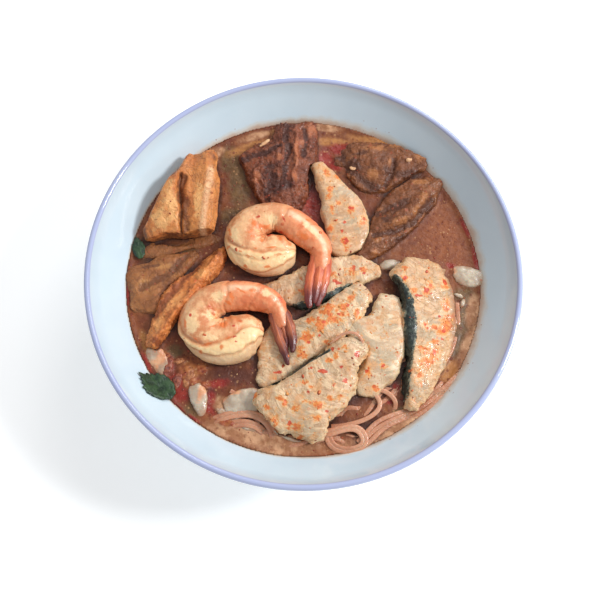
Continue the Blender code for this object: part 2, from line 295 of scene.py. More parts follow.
class Nodes:
    """Writes the nodes of a material or a group in short lines."""

    def __init__(self, tree: bpy.types.NodeTree) -> None:
        """Start on a node tree."""
        self.tree = tree

    def add(self, kind: str, inputs: dict[str | int, Value] | None = None,
            **settings: object) -> bpy.types.Node:
        """Add a node.

        Args:
            kind: The node's type, without the prefix ShaderNode.
            inputs: Values or links for its inputs, by name or number.
            **settings: The node's other settings.

        Returns:
            The new node.
        """
        node = self.tree.nodes.new(f"ShaderNode{kind}")
        for name, value in settings.items():
            setattr(node, name, value)
        for name, value in (inputs or {}).items():
            if isinstance(value, Socket):
                self.tree.links.new(value, node.inputs[name])
            else:
                node.inputs[name].default_value = value
        return node

    def place(self, turn: float = 0.0, stretch: Point | tuple[float, ...] = (1.0, 1.0, 1.0)) -> Socket:
        """Object coordinates, turned about Z and stretched."""
        where = self.add("TexCoord").outputs["Object"]
        return self.add("Mapping", {"Vector": where, "Rotation": (0.0, 0.0, math.radians(turn)),
                                    "Scale": stretch}).outputs[0]

    def attribute(self, name: str, vector: bool = False) -> Socket:
        """A value kept at the mesh's points."""
        return self.add("Attribute", attribute_name=name).outputs["Vector" if vector else "Fac"]

    def step(self, value: Value, low: float, high: float) -> Socket:
        """A soft step from 0 at low to 1 at high; low may be the larger."""
        flip = low > high
        ends = (1.0, 0.0) if flip else (0.0, 1.0)
        return self.add("MapRange", {0: value, 1: min(low, high), 2: max(low, high), 3: ends[0], 4: ends[1]},
                        interpolation_type="SMOOTHSTEP").outputs[0]

    def calc(self, operation: str, first: Value, second: Value = 0.0) -> Socket:
        """A sum, product or other operation on two numbers."""
        return self.add("Math", {0: first, 1: second}, operation=operation).outputs[0]

    def mix(self, mask: Value, below: Value, above: Value) -> Socket:
        """A colour that goes from below to above as the mask goes from 0 to 1."""
        return self.add("Mix", {0: mask, 6: below, 7: above}, data_type="RGBA").outputs[2]

    def apart(self, vector: Socket) -> tuple[Socket, Socket, Socket]:
        """The three numbers of a vector."""
        outputs = self.add("SeparateXYZ", {0: vector}).outputs
        return outputs[0], outputs[1], outputs[2]

    def effect(self, group: bpy.types.NodeTree, inputs: dict[str, Value]) -> Socket:
        """Place a shared effect and return its first output."""
        node = self.tree.nodes.new("ShaderNodeGroup")
        node.node_tree = group
        for name, value in inputs.items():
            if isinstance(value, Socket):
                self.tree.links.new(value, node.inputs[name])
            else:
                node.inputs[name].default_value = value
        return node.outputs[0]


class Effects:
    """Shader node groups that several finishes share, each built once."""

    @staticmethod
    def group(name: str, numbers: dict[str, float]) -> tuple[bpy.types.NodeTree, Nodes, bpy.types.Node]:
        """Start a group with a Vector input, some numbers and one Mask output.

        Args:
            name: Name of the group.
            numbers: Its number inputs, with their defaults.

        Returns:
            The group, a writer for its nodes, and its input node.
        """
        tree = bpy.data.node_groups.new(name, "ShaderNodeTree")
        tree.interface.new_socket("Vector", in_out="INPUT", socket_type="NodeSocketVector")
        for number, default in numbers.items():
            socket = tree.interface.new_socket(number, in_out="INPUT", socket_type="NodeSocketFloat")
            socket.default_value = default
        tree.interface.new_socket("Mask", in_out="OUTPUT", socket_type="NodeSocketFloat")
        nodes = Nodes(tree)
        return tree, nodes, tree.nodes.new("NodeGroupInput")

    @staticmethod
    def finish(tree: bpy.types.NodeTree, mask: Socket) -> bpy.types.NodeTree:
        """Connect a group's output."""
        tree.links.new(mask, tree.nodes.new("NodeGroupOutput").inputs[0])
        return tree

    @classmethod
    def blotches(cls) -> bpy.types.NodeTree:
        """Soft patches of any size: cloud noise between two levels."""
        if "blotches" in bpy.data.node_groups:
            return bpy.data.node_groups["blotches"]
        tree, nodes, given = cls.group("blotches", {"Scale": 100.0, "Low": 0.45, "High": 0.6,
                                                    "Detail": 3.0})
        noise = nodes.add("TexNoise", {"Vector": given.outputs["Vector"], "Scale": given.outputs["Scale"],
                                       "Detail": given.outputs["Detail"], "Roughness": 0.6})
        mask = nodes.add("MapRange", {0: noise.outputs[0], 1: given.outputs["Low"],
                                      2: given.outputs["High"]}, interpolation_type="SMOOTHSTEP")
        return cls.finish(tree, mask.outputs[0])

    @classmethod
    def specks(cls) -> bpy.types.NodeTree:
        """Small uneven spots in a share of evenly spread cells."""
        if "specks" in bpy.data.node_groups:
            return bpy.data.node_groups["specks"]
        tree, nodes, given = cls.group("specks", {"Scale": 400.0, "Share": 0.3, "Size": 0.3})
        wander = nodes.add("TexNoise", {"Vector": given.outputs["Vector"], "Scale": 900.0, "Detail": 2.0})
        bent = nodes.add("VectorMath", {0: wander.outputs["Color"], 1: (0.0006, 0.0006, 0.0006)},
                         operation="MULTIPLY")
        where = nodes.add("VectorMath", {0: given.outputs["Vector"], 1: bent.outputs[0]}, operation="ADD")
        cells = nodes.add("TexVoronoi", {"Vector": where.outputs[0], "Scale": given.outputs["Scale"]})
        chance = nodes.add("SeparateXYZ", {0: cells.outputs["Color"]})
        chosen = nodes.calc("LESS_THAN", chance.outputs[0], given.outputs["Share"])
        radius = nodes.calc("MULTIPLY", given.outputs["Size"], nodes.calc("ADD", chance.outputs[1], 0.4))
        near = nodes.calc("SUBTRACT", radius, cells.outputs["Distance"])
        spot = nodes.step(near, 0.0, 0.08)
        return cls.finish(tree, nodes.calc("MULTIPLY", spot, chosen))

    @classmethod
    def wrinkles(cls) -> bpy.types.NodeTree:
        """Branching folds: 1 along the folds and 0 between them."""
        if "wrinkles" in bpy.data.node_groups:
            return bpy.data.node_groups["wrinkles"]
        tree, nodes, given = cls.group("wrinkles", {"Scale": 200.0, "Width": 0.12})
        noise = nodes.add("TexNoise", {"Vector": given.outputs["Vector"], "Scale": given.outputs["Scale"],
                                       "Detail": 4.0, "Roughness": 0.55, "Distortion": 0.6})
        ridge = nodes.calc("ABSOLUTE", nodes.calc("SUBTRACT", noise.outputs[0], 0.5))
        mask = nodes.add("MapRange", {0: ridge, 1: 0.0, 2: given.outputs["Width"], 3: 1.0, 4: 0.0},
                         interpolation_type="SMOOTHSTEP")
        return cls.finish(tree, mask.outputs[0])


@dataclass(frozen=True)
class Finish:
    """A finish: the material that a kind of surface wears."""

    name: str
    roughness: float = 0.4
    specular: float = 0.5
    coat: float = 0.0
    soft: float = 0.0            # how much light passes below the surface
    soft_depth: float = 2.0      # how deep, in millimetres
    bump: float = 0.3            # height of the fine relief, in millimetres
    glow: float = 0.0            # light that the surface gives off

    def material(self) -> bpy.types.Material:
        """Build the material once and return it."""
        if self.name in bpy.data.materials:
            return bpy.data.materials[self.name]
        material = bpy.data.materials.new(self.name)
        material.use_nodes = True
        nodes = Nodes(material.node_tree)
        shader = material.node_tree.nodes["Principled BSDF"]
        shader.inputs["Specular IOR Level"].default_value = self.specular
        shader.inputs["Coat Weight"].default_value = self.coat
        shader.inputs["Coat Roughness"].default_value = 0.08
        shader.inputs["Subsurface Weight"].default_value = self.soft
        shader.inputs["Subsurface Radius"].default_value = (1.0, 0.45, 0.25)
        shader.inputs["Subsurface Scale"].default_value = self.soft_depth * MM
        shader.inputs["Emission Strength"].default_value = self.glow
        colour, roughness, height = self.surface(nodes)
        link = material.node_tree.links.new
        link(colour, shader.inputs["Base Color"])
        if isinstance(roughness, Socket):
            link(roughness, shader.inputs["Roughness"])
        else:
            shader.inputs["Roughness"].default_value = roughness
        bump = nodes.add("Bump", {"Height": height, "Distance": self.bump * MM, "Strength": 1.0})
        link(bump.outputs[0], shader.inputs["Normal"])
        return material

    def surface(self, nodes: Nodes) -> tuple[Socket, Value, Socket]:
        """Write the pattern: its colour, roughness and height from 0 to 1."""
        raise NotImplementedError


# ---- Finishes ----------------------------------------------------------------
@dataclass(frozen=True)
class Glaze(Finish):
    """White porcelain glaze with a lavender lip and a dried film above the soup."""

    name: str = "white_glaze"
    roughness: float = 0.10
    coat: float = 0.4
    bump: float = 0.05
    LIP_BAND = 1.0               # height of the coloured lip, in millimetres
    FILM_LEFT = 1.2              # how far broth has dried up the wall at the left
    FILM_RIGHT = 3.0             # how much further it has at the right

    def surface(self, nodes: Nodes) -> tuple[Socket, Value, Socket]:
        """Write the glaze."""
        where = nodes.place()
        x, y, z = nodes.apart(where)
        clouds = nodes.effect(Effects.blotches(), {"Vector": where, "Scale": 28.0, "Low": 0.3, "High": 0.7})
        white = nodes.mix(clouds, tone(203, 219, 229), tone(209, 224, 233))
        waver = nodes.add("TexNoise", {"Vector": where, "Scale": 60.0, "Detail": 2.0}).outputs[0]
        lip = nodes.step(nodes.calc("SUBTRACT", z, nodes.calc("MULTIPLY", waver, 0.4 * MM)),
                         (RIM_HEIGHT - self.LIP_BAND - 0.6) * MM, (RIM_HEIGHT - self.LIP_BAND) * MM)
        lip_tone = nodes.mix(waver, tone(168, 176, 220), tone(178, 184, 214))
        glazed = nodes.mix(nodes.calc("MULTIPLY", lip, 0.9), white, lip_tone)
        ragged = nodes.add("TexNoise", {"Vector": where, "Scale": 110.0, "Detail": 4.0,
                                        "Roughness": 0.65}).outputs[0]
        side = nodes.step(nodes.calc("ADD", nodes.calc("MULTIPLY", x, 0.9), nodes.calc("MULTIPLY", y, 0.45)),
                          -75.0 * MM, 60.0 * MM)
        reach = nodes.calc("ADD", nodes.calc("MULTIPLY", side, self.FILM_RIGHT * MM), self.FILM_LEFT * MM)
        height = nodes.calc("DIVIDE", nodes.calc("SUBTRACT", z, SOUP_LEVEL * MM), reach)
        edge = nodes.calc("ADD", height, nodes.calc("MULTIPLY", nodes.calc("SUBTRACT", ragged, 0.5), 1.1))
        inner = nodes.attribute("inner")
        film = nodes.calc("MULTIPLY", nodes.step(edge, 1.0, 0.35), inner)
        film_tone = nodes.mix(nodes.step(edge, 0.6, 0.0), tone(206, 196, 180), tone(190, 140, 94))
        wet = nodes.mix(nodes.calc("MULTIPLY", film, 0.75), glazed, film_tone)
        specks = nodes.effect(Effects.specks(), {"Vector": where, "Scale": 620.0, "Share": 0.08, "Size": 0.26})
        spotted = nodes.calc("MULTIPLY", specks, nodes.calc("MULTIPLY", nodes.step(edge, 1.5, 0.6), inner))
        colour = nodes.mix(nodes.calc("MULTIPLY", spotted, 0.7), wet, tone(150, 78, 48))
        rough = nodes.calc("ADD", nodes.calc("MULTIPLY", film, 0.25), self.roughness)
        return colour, rough, nodes.calc("ADD", film, spotted)


@dataclass(frozen=True)
class Curry(Finish):
    """Coconut curry: brown broth with red oil, pale cream and chilli paste, darker where it is deep, with painted shade
    between the pieces.
    """

    name: str = "coconut_curry"
    roughness: float = 0.2
    specular: float = 0.3
    soft: float = 0.0
    bump: float = 0.3

    def surface(self, nodes: Nodes) -> tuple[Socket, Value, Socket]:
        """Write the curry."""
        where = nodes.place()
        large = nodes.effect(Effects.blotches(), {"Vector": where, "Scale": 80.0, "Low": 0.35, "High": 0.68})
        fine = nodes.effect(Effects.blotches(), {"Vector": where, "Scale": 420.0, "Low": 0.36, "High": 0.68,
                                                 "Detail": 5.0})
        ragged = nodes.add("TexNoise", {"Vector": where, "Scale": 240.0, "Detail": 5.0,
                                        "Roughness": 0.65}).outputs[0]
        shift = nodes.calc("MULTIPLY", nodes.calc("SUBTRACT", ragged, 0.5), 1.1)
        broth = nodes.mix(large, tone(114, 58, 36), tone(134, 78, 47))
        swirls = nodes.effect(Effects.blotches(), {"Vector": where, "Scale": 150.0, "Low": 0.44, "High": 0.62,
                                                   "Detail": 5.0})
        broth = nodes.mix(nodes.calc("MULTIPLY", swirls, 0.5), broth, tone(152, 92, 54))
        broth = nodes.mix(nodes.calc("MULTIPLY", fine, 0.5), broth, tone(100, 50, 34))
        for name, low, high, share, first, second in (
                # The darkest patches stand for deeper broth and for painted shade between the pieces.
                ("deep_shade", 0.1, 0.9, 0.85, tone(78, 42, 36), tone(96, 54, 44)),
                ("warm", 0.1, 0.9, 0.85, tone(146, 82, 46), tone(128, 68, 40)),
                ("olive", 0.1, 0.75, 0.85, tone(90, 68, 42), tone(116, 88, 54)),
                ("gold", 0.1, 0.8, 0.85, tone(184, 124, 68), tone(158, 100, 56)),
                ("cream", 0.05, 0.7, 0.9, tone(164, 112, 78), tone(208, 158, 120)),
                ("oil", 0.12, 0.85, 0.85, tone(136, 36, 36), tone(158, 56, 46)),
                ("paste", 0.15, 0.75, 0.85, tone(174, 104, 60), tone(140, 58, 44))):
            edge = shift if name in ("oil", "paste") else nodes.calc("MULTIPLY", shift, 0.55)
            mask = nodes.step(nodes.calc("ADD", nodes.attribute(name), edge), low, high)
            grain = swirls if name == "cream" else fine
            broth = nodes.mix(nodes.calc("MULTIPLY", mask, share), broth, nodes.mix(grain, first, second))
        oily = nodes.step(nodes.calc("ADD", nodes.attribute("oil"), shift), 0.35, 0.7)
        colour = broth
        dots = nodes.effect(Effects.specks(), {"Vector": where, "Scale": 520.0, "Share": 0.34, "Size": 0.36})
        bare = nodes.calc("SUBTRACT", 0.6, nodes.calc("MULTIPLY", nodes.attribute("cream"), 0.5))
        colour = nodes.mix(nodes.calc("MULTIPLY", dots, bare), colour, tone(108, 46, 34))
        crumbs = nodes.effect(Effects.specks(), {"Vector": where, "Scale": 700.0, "Share": 0.16, "Size": 0.32})
        colour = nodes.mix(nodes.calc("MULTIPLY", crumbs, 0.5), colour, tone(190, 140, 96))
        # Painted shade: the broth turns dark brown in the narrow gaps between pieces.
        gap_shade = nodes.step(nodes.attribute("gap_shade"), 0.26, 0.70)
        colour = nodes.mix(nodes.calc("MULTIPLY", gap_shade, 0.9), colour, nodes.mix(fine, tone(50, 32, 28),
                                                                                    tone(74, 44, 36)))
        height = nodes.calc("ADD", nodes.calc("MULTIPLY", fine, 0.5), nodes.calc("MULTIPLY", dots, 0.5))
        rough = nodes.calc("SUBTRACT", 0.38, nodes.calc("MULTIPLY", oily, 0.2))
        return colour, rough, height


@dataclass(frozen=True)
class Noodle(Finish):
    """Soft rice noodle, stained by the broth."""

    name: str = "rice_noodle"
    roughness: float = 0.25
    coat: float = 0.15
    soft: float = 0.35
    soft_depth: float = 1.2
    bump: float = 0.1

    def surface(self, nodes: Nodes) -> tuple[Socket, Value, Socket]:
        """Write the noodle: paler where it stands higher above the broth."""
        where = nodes.place()
        height = nodes.apart(where)[2]
        stain = nodes.effect(Effects.blotches(), {"Vector": where, "Scale": 130.0, "Low": 0.35, "High": 0.7})
        streaks = nodes.effect(Effects.blotches(), {"Vector": where, "Scale": 700.0, "Low": 0.4, "High": 0.7})
        colour = nodes.mix(stain, tone(196, 136, 104), tone(174, 112, 82))
        raised = nodes.step(height, (SOUP_LEVEL + 0.6) * MM, (SOUP_LEVEL + 2.8) * MM)
        colour = nodes.mix(nodes.calc("MULTIPLY", raised, 0.8), colour, tone(218, 162, 130))
        colour = nodes.mix(nodes.calc("MULTIPLY", streaks, 0.15), colour, tone(222, 172, 140))
        return colour, 0.25, streaks


@dataclass(frozen=True)
class PrawnFlesh(Finish):
    """Cooked prawn: cream flesh blushed with orange, a pink tail shell and dark tips."""

    name: str = "cooked_prawn"
    roughness: float = 0.30
    coat: float = 0.14
    soft: float = 0.15
    soft_depth: float = 1.5
    bump: float = 0.12
    shell: tuple[tuple[int, int, int], ...] = ((190, 80, 52), (236, 130, 82), (104, 40, 42))

    def surface(self, nodes: Nodes) -> tuple[Socket, Value, Socket]:
        """Write the prawn. The attributes hold its straight place, its layers with their painted shade, and its stains
        with their painted highlights.
        """
        where = nodes.place()
        along, out, up = nodes.apart(nodes.attribute("straight", vector=True))
        crease, flap, below = nodes.apart(nodes.attribute("layer", vector=True))
        orange, red, pale = nodes.apart(nodes.attribute("stain", vector=True))
        fibres = nodes.effect(Effects.blotches(), {"Vector": where, "Scale": 420.0, "Low": 0.35, "High": 0.7,
                                                   "Detail": 5.0})
        patch = nodes.add("TexNoise", {"Vector": where, "Scale": 120.0, "Detail": 4.0,
                                       "Roughness": 0.6}).outputs[0]
        ragged = nodes.calc("MULTIPLY", nodes.calc("SUBTRACT", nodes.add("TexNoise", {
            "Vector": where, "Scale": 420.0, "Detail": 4.0, "Roughness": 0.7}).outputs[0], 0.5), 2.2)
        body = nodes.mix(nodes.step(patch, 0.38, 0.62), tone(240, 186, 136), tone(210, 134, 88))
        body = nodes.mix(nodes.calc("MULTIPLY", fibres, 0.35), body, tone(244, 194, 144))
        lobe = nodes.mix(fibres, tone(255, 222, 168), tone(246, 202, 146))
        body = nodes.mix(nodes.calc("MULTIPLY", flap, 0.9), body, lobe)
        body = nodes.mix(nodes.calc("MULTIPLY", below, 0.85), body, tone(230, 192, 148))
        inside = nodes.calc("MULTIPLY", nodes.step(out, 0.35, -0.75), nodes.step(along, 0.57, 0.48))
        inside = nodes.calc("MULTIPLY", inside, nodes.calc("SUBTRACT", 1.0, flap))
        body = nodes.mix(nodes.calc("MULTIPLY", inside, nodes.step(patch, 0.42, 0.62)), body,
                         tone(218, 132, 82))
        warm = nodes.calc("ADD", along, nodes.calc("MULTIPLY", patch, 0.16))
        peach = nodes.mix(nodes.step(patch, 0.38, 0.62), tone(226, 126, 80), tone(244, 162, 114))
        colour = nodes.mix(nodes.step(warm, 0.58, 0.78), body, peach)
        tail = nodes.step(along, 0.57, 0.66)
        # Painted highlight: a pale band along the outer ridge of the tail segments.
        ridge = nodes.calc("MULTIPLY", tail, nodes.step(nodes.calc("ABSOLUTE", nodes.calc(
            "SUBTRACT", out, 0.30)), 0.34, 0.06))
        colour = nodes.mix(nodes.calc("MULTIPLY", ridge, nodes.step(patch, 0.36, 0.56)), colour,
                           tone(250, 204, 166))
        back = nodes.calc("MULTIPLY", nodes.step(out, 0.60, 1.0), tail)
        colour = nodes.mix(nodes.calc("MULTIPLY", back, 0.7), colour, tone(228, 118, 82))
        # Paler flesh, with painted highlights where the pale marks lie on the tail's ridge and on the lower prawn's
        # head end.
        colour = nodes.mix(nodes.calc("MULTIPLY", nodes.step(nodes.calc("ADD", pale, ragged), 0.2, 0.9), 0.85),
                           colour, tone(250, 212, 160))
        colour = nodes.mix(nodes.calc("MULTIPLY", nodes.step(nodes.calc("ADD", orange, ragged), 0.35, 0.95),
                                      0.85), colour, tone(232, 118, 50))
        fan = nodes.step(along, 0.995, 1.005)
        streak = nodes.add("TexNoise", {"Vector": nodes.add("VectorMath", {0: nodes.attribute(
            "straight", vector=True), 1: (1.3, 2.4, 1.2)}, operation="MULTIPLY").outputs[0],
            "Scale": 1.7, "Detail": 3.0}).outputs[0]
        dark, light, tip = (tone(*colour) for colour in self.shell)
        shell = nodes.mix(nodes.step(streak, 0.36, 0.66), dark, light)
        # Painted highlight along the middle of each tail blade.
        shell = nodes.mix(nodes.calc("MULTIPLY", nodes.step(nodes.calc("ABSOLUTE", out), 0.26, 0.04), 0.6),
                          shell, light)
        blush = [round((part + other) / 2) for part, other in zip(self.shell[1], (226, 138, 96))]
        root = nodes.mix(nodes.step(streak, 0.40, 0.62), tone(*self.shell[1]), tone(*blush))
        colour = nodes.mix(nodes.calc("MULTIPLY", nodes.step(along, 0.90, 0.98), 0.7), colour, root)
        colour = nodes.mix(fan, colour, shell)
        tips = nodes.step(nodes.calc("ADD", along, nodes.calc("MULTIPLY", streak, 0.5)), 1.80, 2.08)
        colour = nodes.mix(nodes.calc("MULTIPLY", tips, 0.95), colour, tip)
        # Orange along the split seam, and painted shade in the grooves, under the flap's edge and between the tail
        # blades.
        seam_tone_and_shade = nodes.mix(fan, tone(206, 116, 64), nodes.mix(0.5, dark, tip))
        colour = nodes.mix(nodes.calc("MULTIPLY", crease, 0.75), colour, seam_tone_and_shade)
        colour = nodes.mix(nodes.step(nodes.calc("ADD", red, ragged), 0.45, 0.9), colour, tone(204, 74, 48))
        specks = nodes.effect(Effects.specks(), {"Vector": where, "Scale": 300.0, "Share": 0.10, "Size": 0.3})
        colour = nodes.mix(nodes.calc("MULTIPLY", specks, 0.7), colour, tone(214, 104, 60))
        rough = nodes.calc("SUBTRACT", 0.36, nodes.calc("MULTIPLY", fan, 0.02))
        return colour, rough, nodes.calc("SUBTRACT", fibres, nodes.calc("MULTIPLY", crease, 0.4))


@dataclass(frozen=True)
class FishFlesh(Finish):
    """Flaky white fish, soaked with orange oil in places, with flakes of chilli, dark skin and a painted highlight on
    its sloping edges.

    The grain attribute runs along the muscle; the stain attribute holds oil, chilli and skin.
    """

    name: str = "white_fish"
    roughness: float = 0.42
    coat: float = 0.10
    soft: float = 0.12
    soft_depth: float = 1.2
    bump: float = 0.30
    flesh: tuple[tuple[int, int, int], ...] = ((186, 148, 114), (212, 172, 136), (240, 208, 168))

    def surface(self, nodes: Nodes) -> tuple[Socket, Value, Socket]:
        """Write the fish."""
        where = nodes.place()
        oil, chilli, skin = nodes.apart(nodes.attribute("stain", vector=True))
        streaks = nodes.add("TexNoise", {"Vector": nodes.attribute("grain", vector=True), "Scale": 0.5,
                                         "Detail": 4.0, "Roughness": 0.65}).outputs[0]
        fine = nodes.effect(Effects.blotches(), {"Vector": where, "Scale": 700.0, "Low": 0.35, "High": 0.7,
                                                 "Detail": 4.0})
        broad = nodes.effect(Effects.blotches(), {"Vector": where, "Scale": 110.0, "Low": 0.36, "High": 0.66,
                                                  "Detail": 4.0})
        ragged = nodes.calc("SUBTRACT", nodes.add("TexNoise", {
            "Vector": where, "Scale": 330.0, "Detail": 5.0, "Roughness": 0.65}).outputs[0], 0.5)
        flakes = nodes.effect(Effects.wrinkles(), {"Vector": where, "Scale": 170.0, "Width": 0.035})
        clouds = nodes.add("TexNoise", {"Vector": where, "Scale": 85.0, "Detail": 3.0}).outputs[0]
        tan = nodes.add("TexNoise", {"Vector": where, "Scale": 150.0, "Detail": 3.0}).outputs[0]
        dark_flesh, light_flesh, streaked = (tone(*colour) for colour in self.flesh)
        flesh = nodes.mix(broad, dark_flesh, light_flesh)
        flesh = nodes.mix(nodes.calc("MULTIPLY", nodes.step(clouds, 0.50, 0.62), 0.7), flesh,
                          tone(174, 158, 132))
        flesh = nodes.mix(nodes.calc("MULTIPLY", nodes.step(streaks, 0.44, 0.64), 0.8), flesh, streaked)
        flesh = nodes.mix(nodes.calc("MULTIPLY", nodes.step(ragged, 0.02, 0.16), 0.35), flesh,
                          tone(176, 144, 108))
        flesh = nodes.mix(nodes.calc("MULTIPLY", nodes.step(ragged, -0.03, -0.16), 0.4), flesh,
                          tone(244, 212, 168))
        flesh = nodes.mix(nodes.calc("MULTIPLY", fine, 0.15), flesh, tone(244, 212, 166))
        # Paler frayed flesh and a painted highlight on the sloping edges above the broth.
        flesh = nodes.mix(nodes.calc("MULTIPLY", nodes.step(nodes.calc("ADD", nodes.attribute("rim"), ragged),
                                                            0.25, 0.75), 0.55), flesh, tone(246, 214, 168))
        flesh = nodes.mix(nodes.calc("MULTIPLY", flakes, 0.3), flesh, tone(192, 146, 100))
        flesh = nodes.mix(nodes.calc("MULTIPLY", nodes.step(nodes.calc("ADD", tan, nodes.calc("MULTIPLY", ragged, 0.6)),
                                                            0.50, 0.66), 0.6), flesh, tone(218, 156, 100))
        blots = nodes.add("TexNoise", {"Vector": where, "Scale": 330.0, "Detail": 6.0,
                                       "Roughness": 0.72}).outputs[0]
        heat = nodes.calc("ADD", nodes.calc("MULTIPLY", oil, 0.5), nodes.calc("MULTIPLY", nodes.calc(
            "SUBTRACT", blots, 0.5), 2.0))
        colour = nodes.mix(nodes.calc("MULTIPLY", nodes.step(heat, 0.10, 0.36), 0.7), flesh,
                           tone(234, 174, 104))
        colour = nodes.mix(nodes.calc("MULTIPLY", nodes.step(heat, 0.27, 0.42), 0.9), colour,
                           nodes.mix(fine, tone(214, 96, 40), tone(232, 142, 62)))
        hot = nodes.effect(Effects.specks(), {"Vector": where, "Scale": 420.0, "Share": 0.2, "Size": 0.3})
        colour = nodes.mix(nodes.calc("MULTIPLY", hot, nodes.calc("ADD", 0.3, nodes.step(oil, 0.0, 0.5))), colour,
                           tone(206, 98, 46))
        dots = nodes.effect(Effects.specks(), {"Vector": where, "Scale": 1000.0, "Share": 0.3, "Size": 0.34})
        colour = nodes.mix(nodes.calc("MULTIPLY", dots, 0.4), colour, tone(204, 132, 78))
        flake = nodes.step(nodes.calc("ADD", chilli, nodes.calc("MULTIPLY", ragged, 2.6)), 0.36, 0.56)
        colour = nodes.mix(nodes.calc("MULTIPLY", flake, 0.95), colour,
                           nodes.mix(fine, tone(188, 56, 34), tone(226, 96, 48)))
        low = nodes.step(nodes.apart(where)[2], (SOUP_LEVEL + 2.4) * MM, (SOUP_LEVEL + 0.2) * MM)
        colour = nodes.mix(nodes.calc("MULTIPLY", low, 0.7), colour, tone(140, 88, 58))
        edge = nodes.calc("ADD", skin, nodes.calc("MULTIPLY", ragged, 1.3))
        scales = nodes.effect(Effects.blotches(), {"Vector": where, "Scale": 520.0, "Low": 0.45, "High": 0.6,
                                                   "Detail": 3.0})
        mottled = nodes.mix(scales, tone(44, 52, 44), tone(142, 140, 118))
        dark = nodes.mix(nodes.step(edge, 0.62, 0.95), mottled, nodes.mix(scales, tone(26, 34, 30),
                                                                          tone(54, 64, 56)))
        colour = nodes.mix(nodes.step(edge, 0.34, 0.52), colour, dark)
        height = nodes.calc("SUBTRACT", nodes.calc("MULTIPLY", streaks, 1.2), nodes.calc("MULTIPLY", flakes, 0.5))
        return colour, 0.42, nodes.calc("SUBTRACT", height, nodes.calc("MULTIPLY", ragged, 0.9))


class Fry(Enum):
    """How a tofu puff looks: golden, browned, or soaked dark with curry."""

    GOLDEN = ((208, 124, 66), (228, 148, 82), (118, 68, 42), (246, 186, 120))
    BROWN = ((214, 122, 62), (236, 150, 82), (140, 72, 40), (248, 172, 104))
    EARTH = ((160, 98, 54), (180, 118, 68), (112, 66, 40), (198, 138, 82))
    DARK = ((120, 60, 38), (150, 82, 50), (70, 36, 28), (190, 114, 76))
    RUSSET = ((126, 72, 40), (150, 90, 50), (86, 48, 32), (180, 116, 68))

    def tones(self) -> list[tuple[float, float, float, float]]:
        """The skin's main, raised, folded and lightest colours."""
        return [tone(*colour) for colour in self.value]


@dataclass(frozen=True)
class TofuSkin(Finish):
    """Wrinkled fried skin of a tofu puff, with painted highlights on its ridges and painted shade in its folds, gaps
    and underside.
    """

    name: str = "tofu_skin"
    fry: Fry = Fry.GOLDEN
    mottling: float = 0.45       # how strongly the skin is blotched
    roughness: float = 0.5
    specular: float = 0.4
    soft: float = 0.08
    bump: float = 0.35

    def surface(self, nodes: Nodes) -> tuple[Socket, Value, Socket]:
        """Write the skin."""
        where = nodes.place()
        main, raised, folded, lightest = self.fry.tones()
        torn, light, dark = nodes.apart(nodes.attribute("marks", vector=True))
        broad = nodes.effect(Effects.blotches(), {"Vector": where, "Scale": 95.0, "Low": 0.34, "High": 0.68})
        fine = nodes.effect(Effects.blotches(), {"Vector": where, "Scale": 560.0, "Low": 0.35, "High": 0.7,
                                                 "Detail": 5.0})
        mottle = nodes.effect(Effects.blotches(), {"Vector": where, "Scale": 230.0, "Low": 0.42, "High": 0.62,
                                                   "Detail": 5.0})
        folds = nodes.effect(Effects.wrinkles(), {"Vector": where, "Scale": 110.0, "Width": 0.05})
        creases = nodes.effect(Effects.wrinkles(), {"Vector": where, "Scale": 330.0, "Width": 0.05})
        ragged = nodes.calc("MULTIPLY", nodes.calc("SUBTRACT", mottle, 0.5), 0.5)
        colour = nodes.mix(broad, main, raised)
        colour = nodes.mix(nodes.calc("MULTIPLY", mottle, self.mottling), colour, folded)
        colour = nodes.mix(nodes.calc("MULTIPLY", fine, 0.22), colour, folded)
        colour = nodes.mix(nodes.calc("MULTIPLY", folds, 0.3), colour, folded)
        # The light mark: lighter fried skin, and painted highlights on the ridges.
        colour = nodes.mix(nodes.calc("MULTIPLY", nodes.step(nodes.calc("ADD", light, ragged), 0.15, 0.85), 0.8),
                           colour, lightest)
        # The dark mark: darker fried skin, and painted shade in the slit, the folds, the gaps and the underside.
        colour = nodes.mix(nodes.calc("MULTIPLY", nodes.step(nodes.calc("ADD", dark, ragged), 0.1, 0.8), 0.85),
                           colour, folded)
        low = nodes.step(nodes.calc("ADD", nodes.apart(where)[2], nodes.calc("MULTIPLY", fine, 0.8 * MM)),
                         (SOUP_LEVEL + 2.6) * MM, (SOUP_LEVEL + 0.2) * MM)
        colour = nodes.mix(nodes.calc("MULTIPLY", low, 0.6), colour, folded)
        crumb = nodes.effect(Effects.specks(), {"Vector": where, "Scale": 480.0, "Share": 0.22, "Size": 0.34})
        colour = nodes.mix(nodes.calc("MULTIPLY", crumb, 0.45), colour, tone(168, 78, 46))
        sponge = nodes.mix(fine, tone(244, 198, 150), tone(214, 146, 100))
        frayed = nodes.calc("ADD", torn, nodes.calc("MULTIPLY", nodes.calc("SUBTRACT", fine, 0.5), 0.25))
        colour = nodes.mix(nodes.calc("MULTIPLY", nodes.step(frayed, 0.2, 0.95), 0.85), colour, sponge)
        height = nodes.calc("SUBTRACT", nodes.calc("MULTIPLY", fine, 0.4),
                            nodes.calc("ADD", nodes.calc("MULTIPLY", folds, 0.5),
                                       nodes.calc("MULTIPLY", creases, 0.25)))
        rough = nodes.calc("SUBTRACT", 0.5, nodes.calc("MULTIPLY", broad, 0.2))
        return colour, rough, nodes.calc("ADD", height, 0.8)


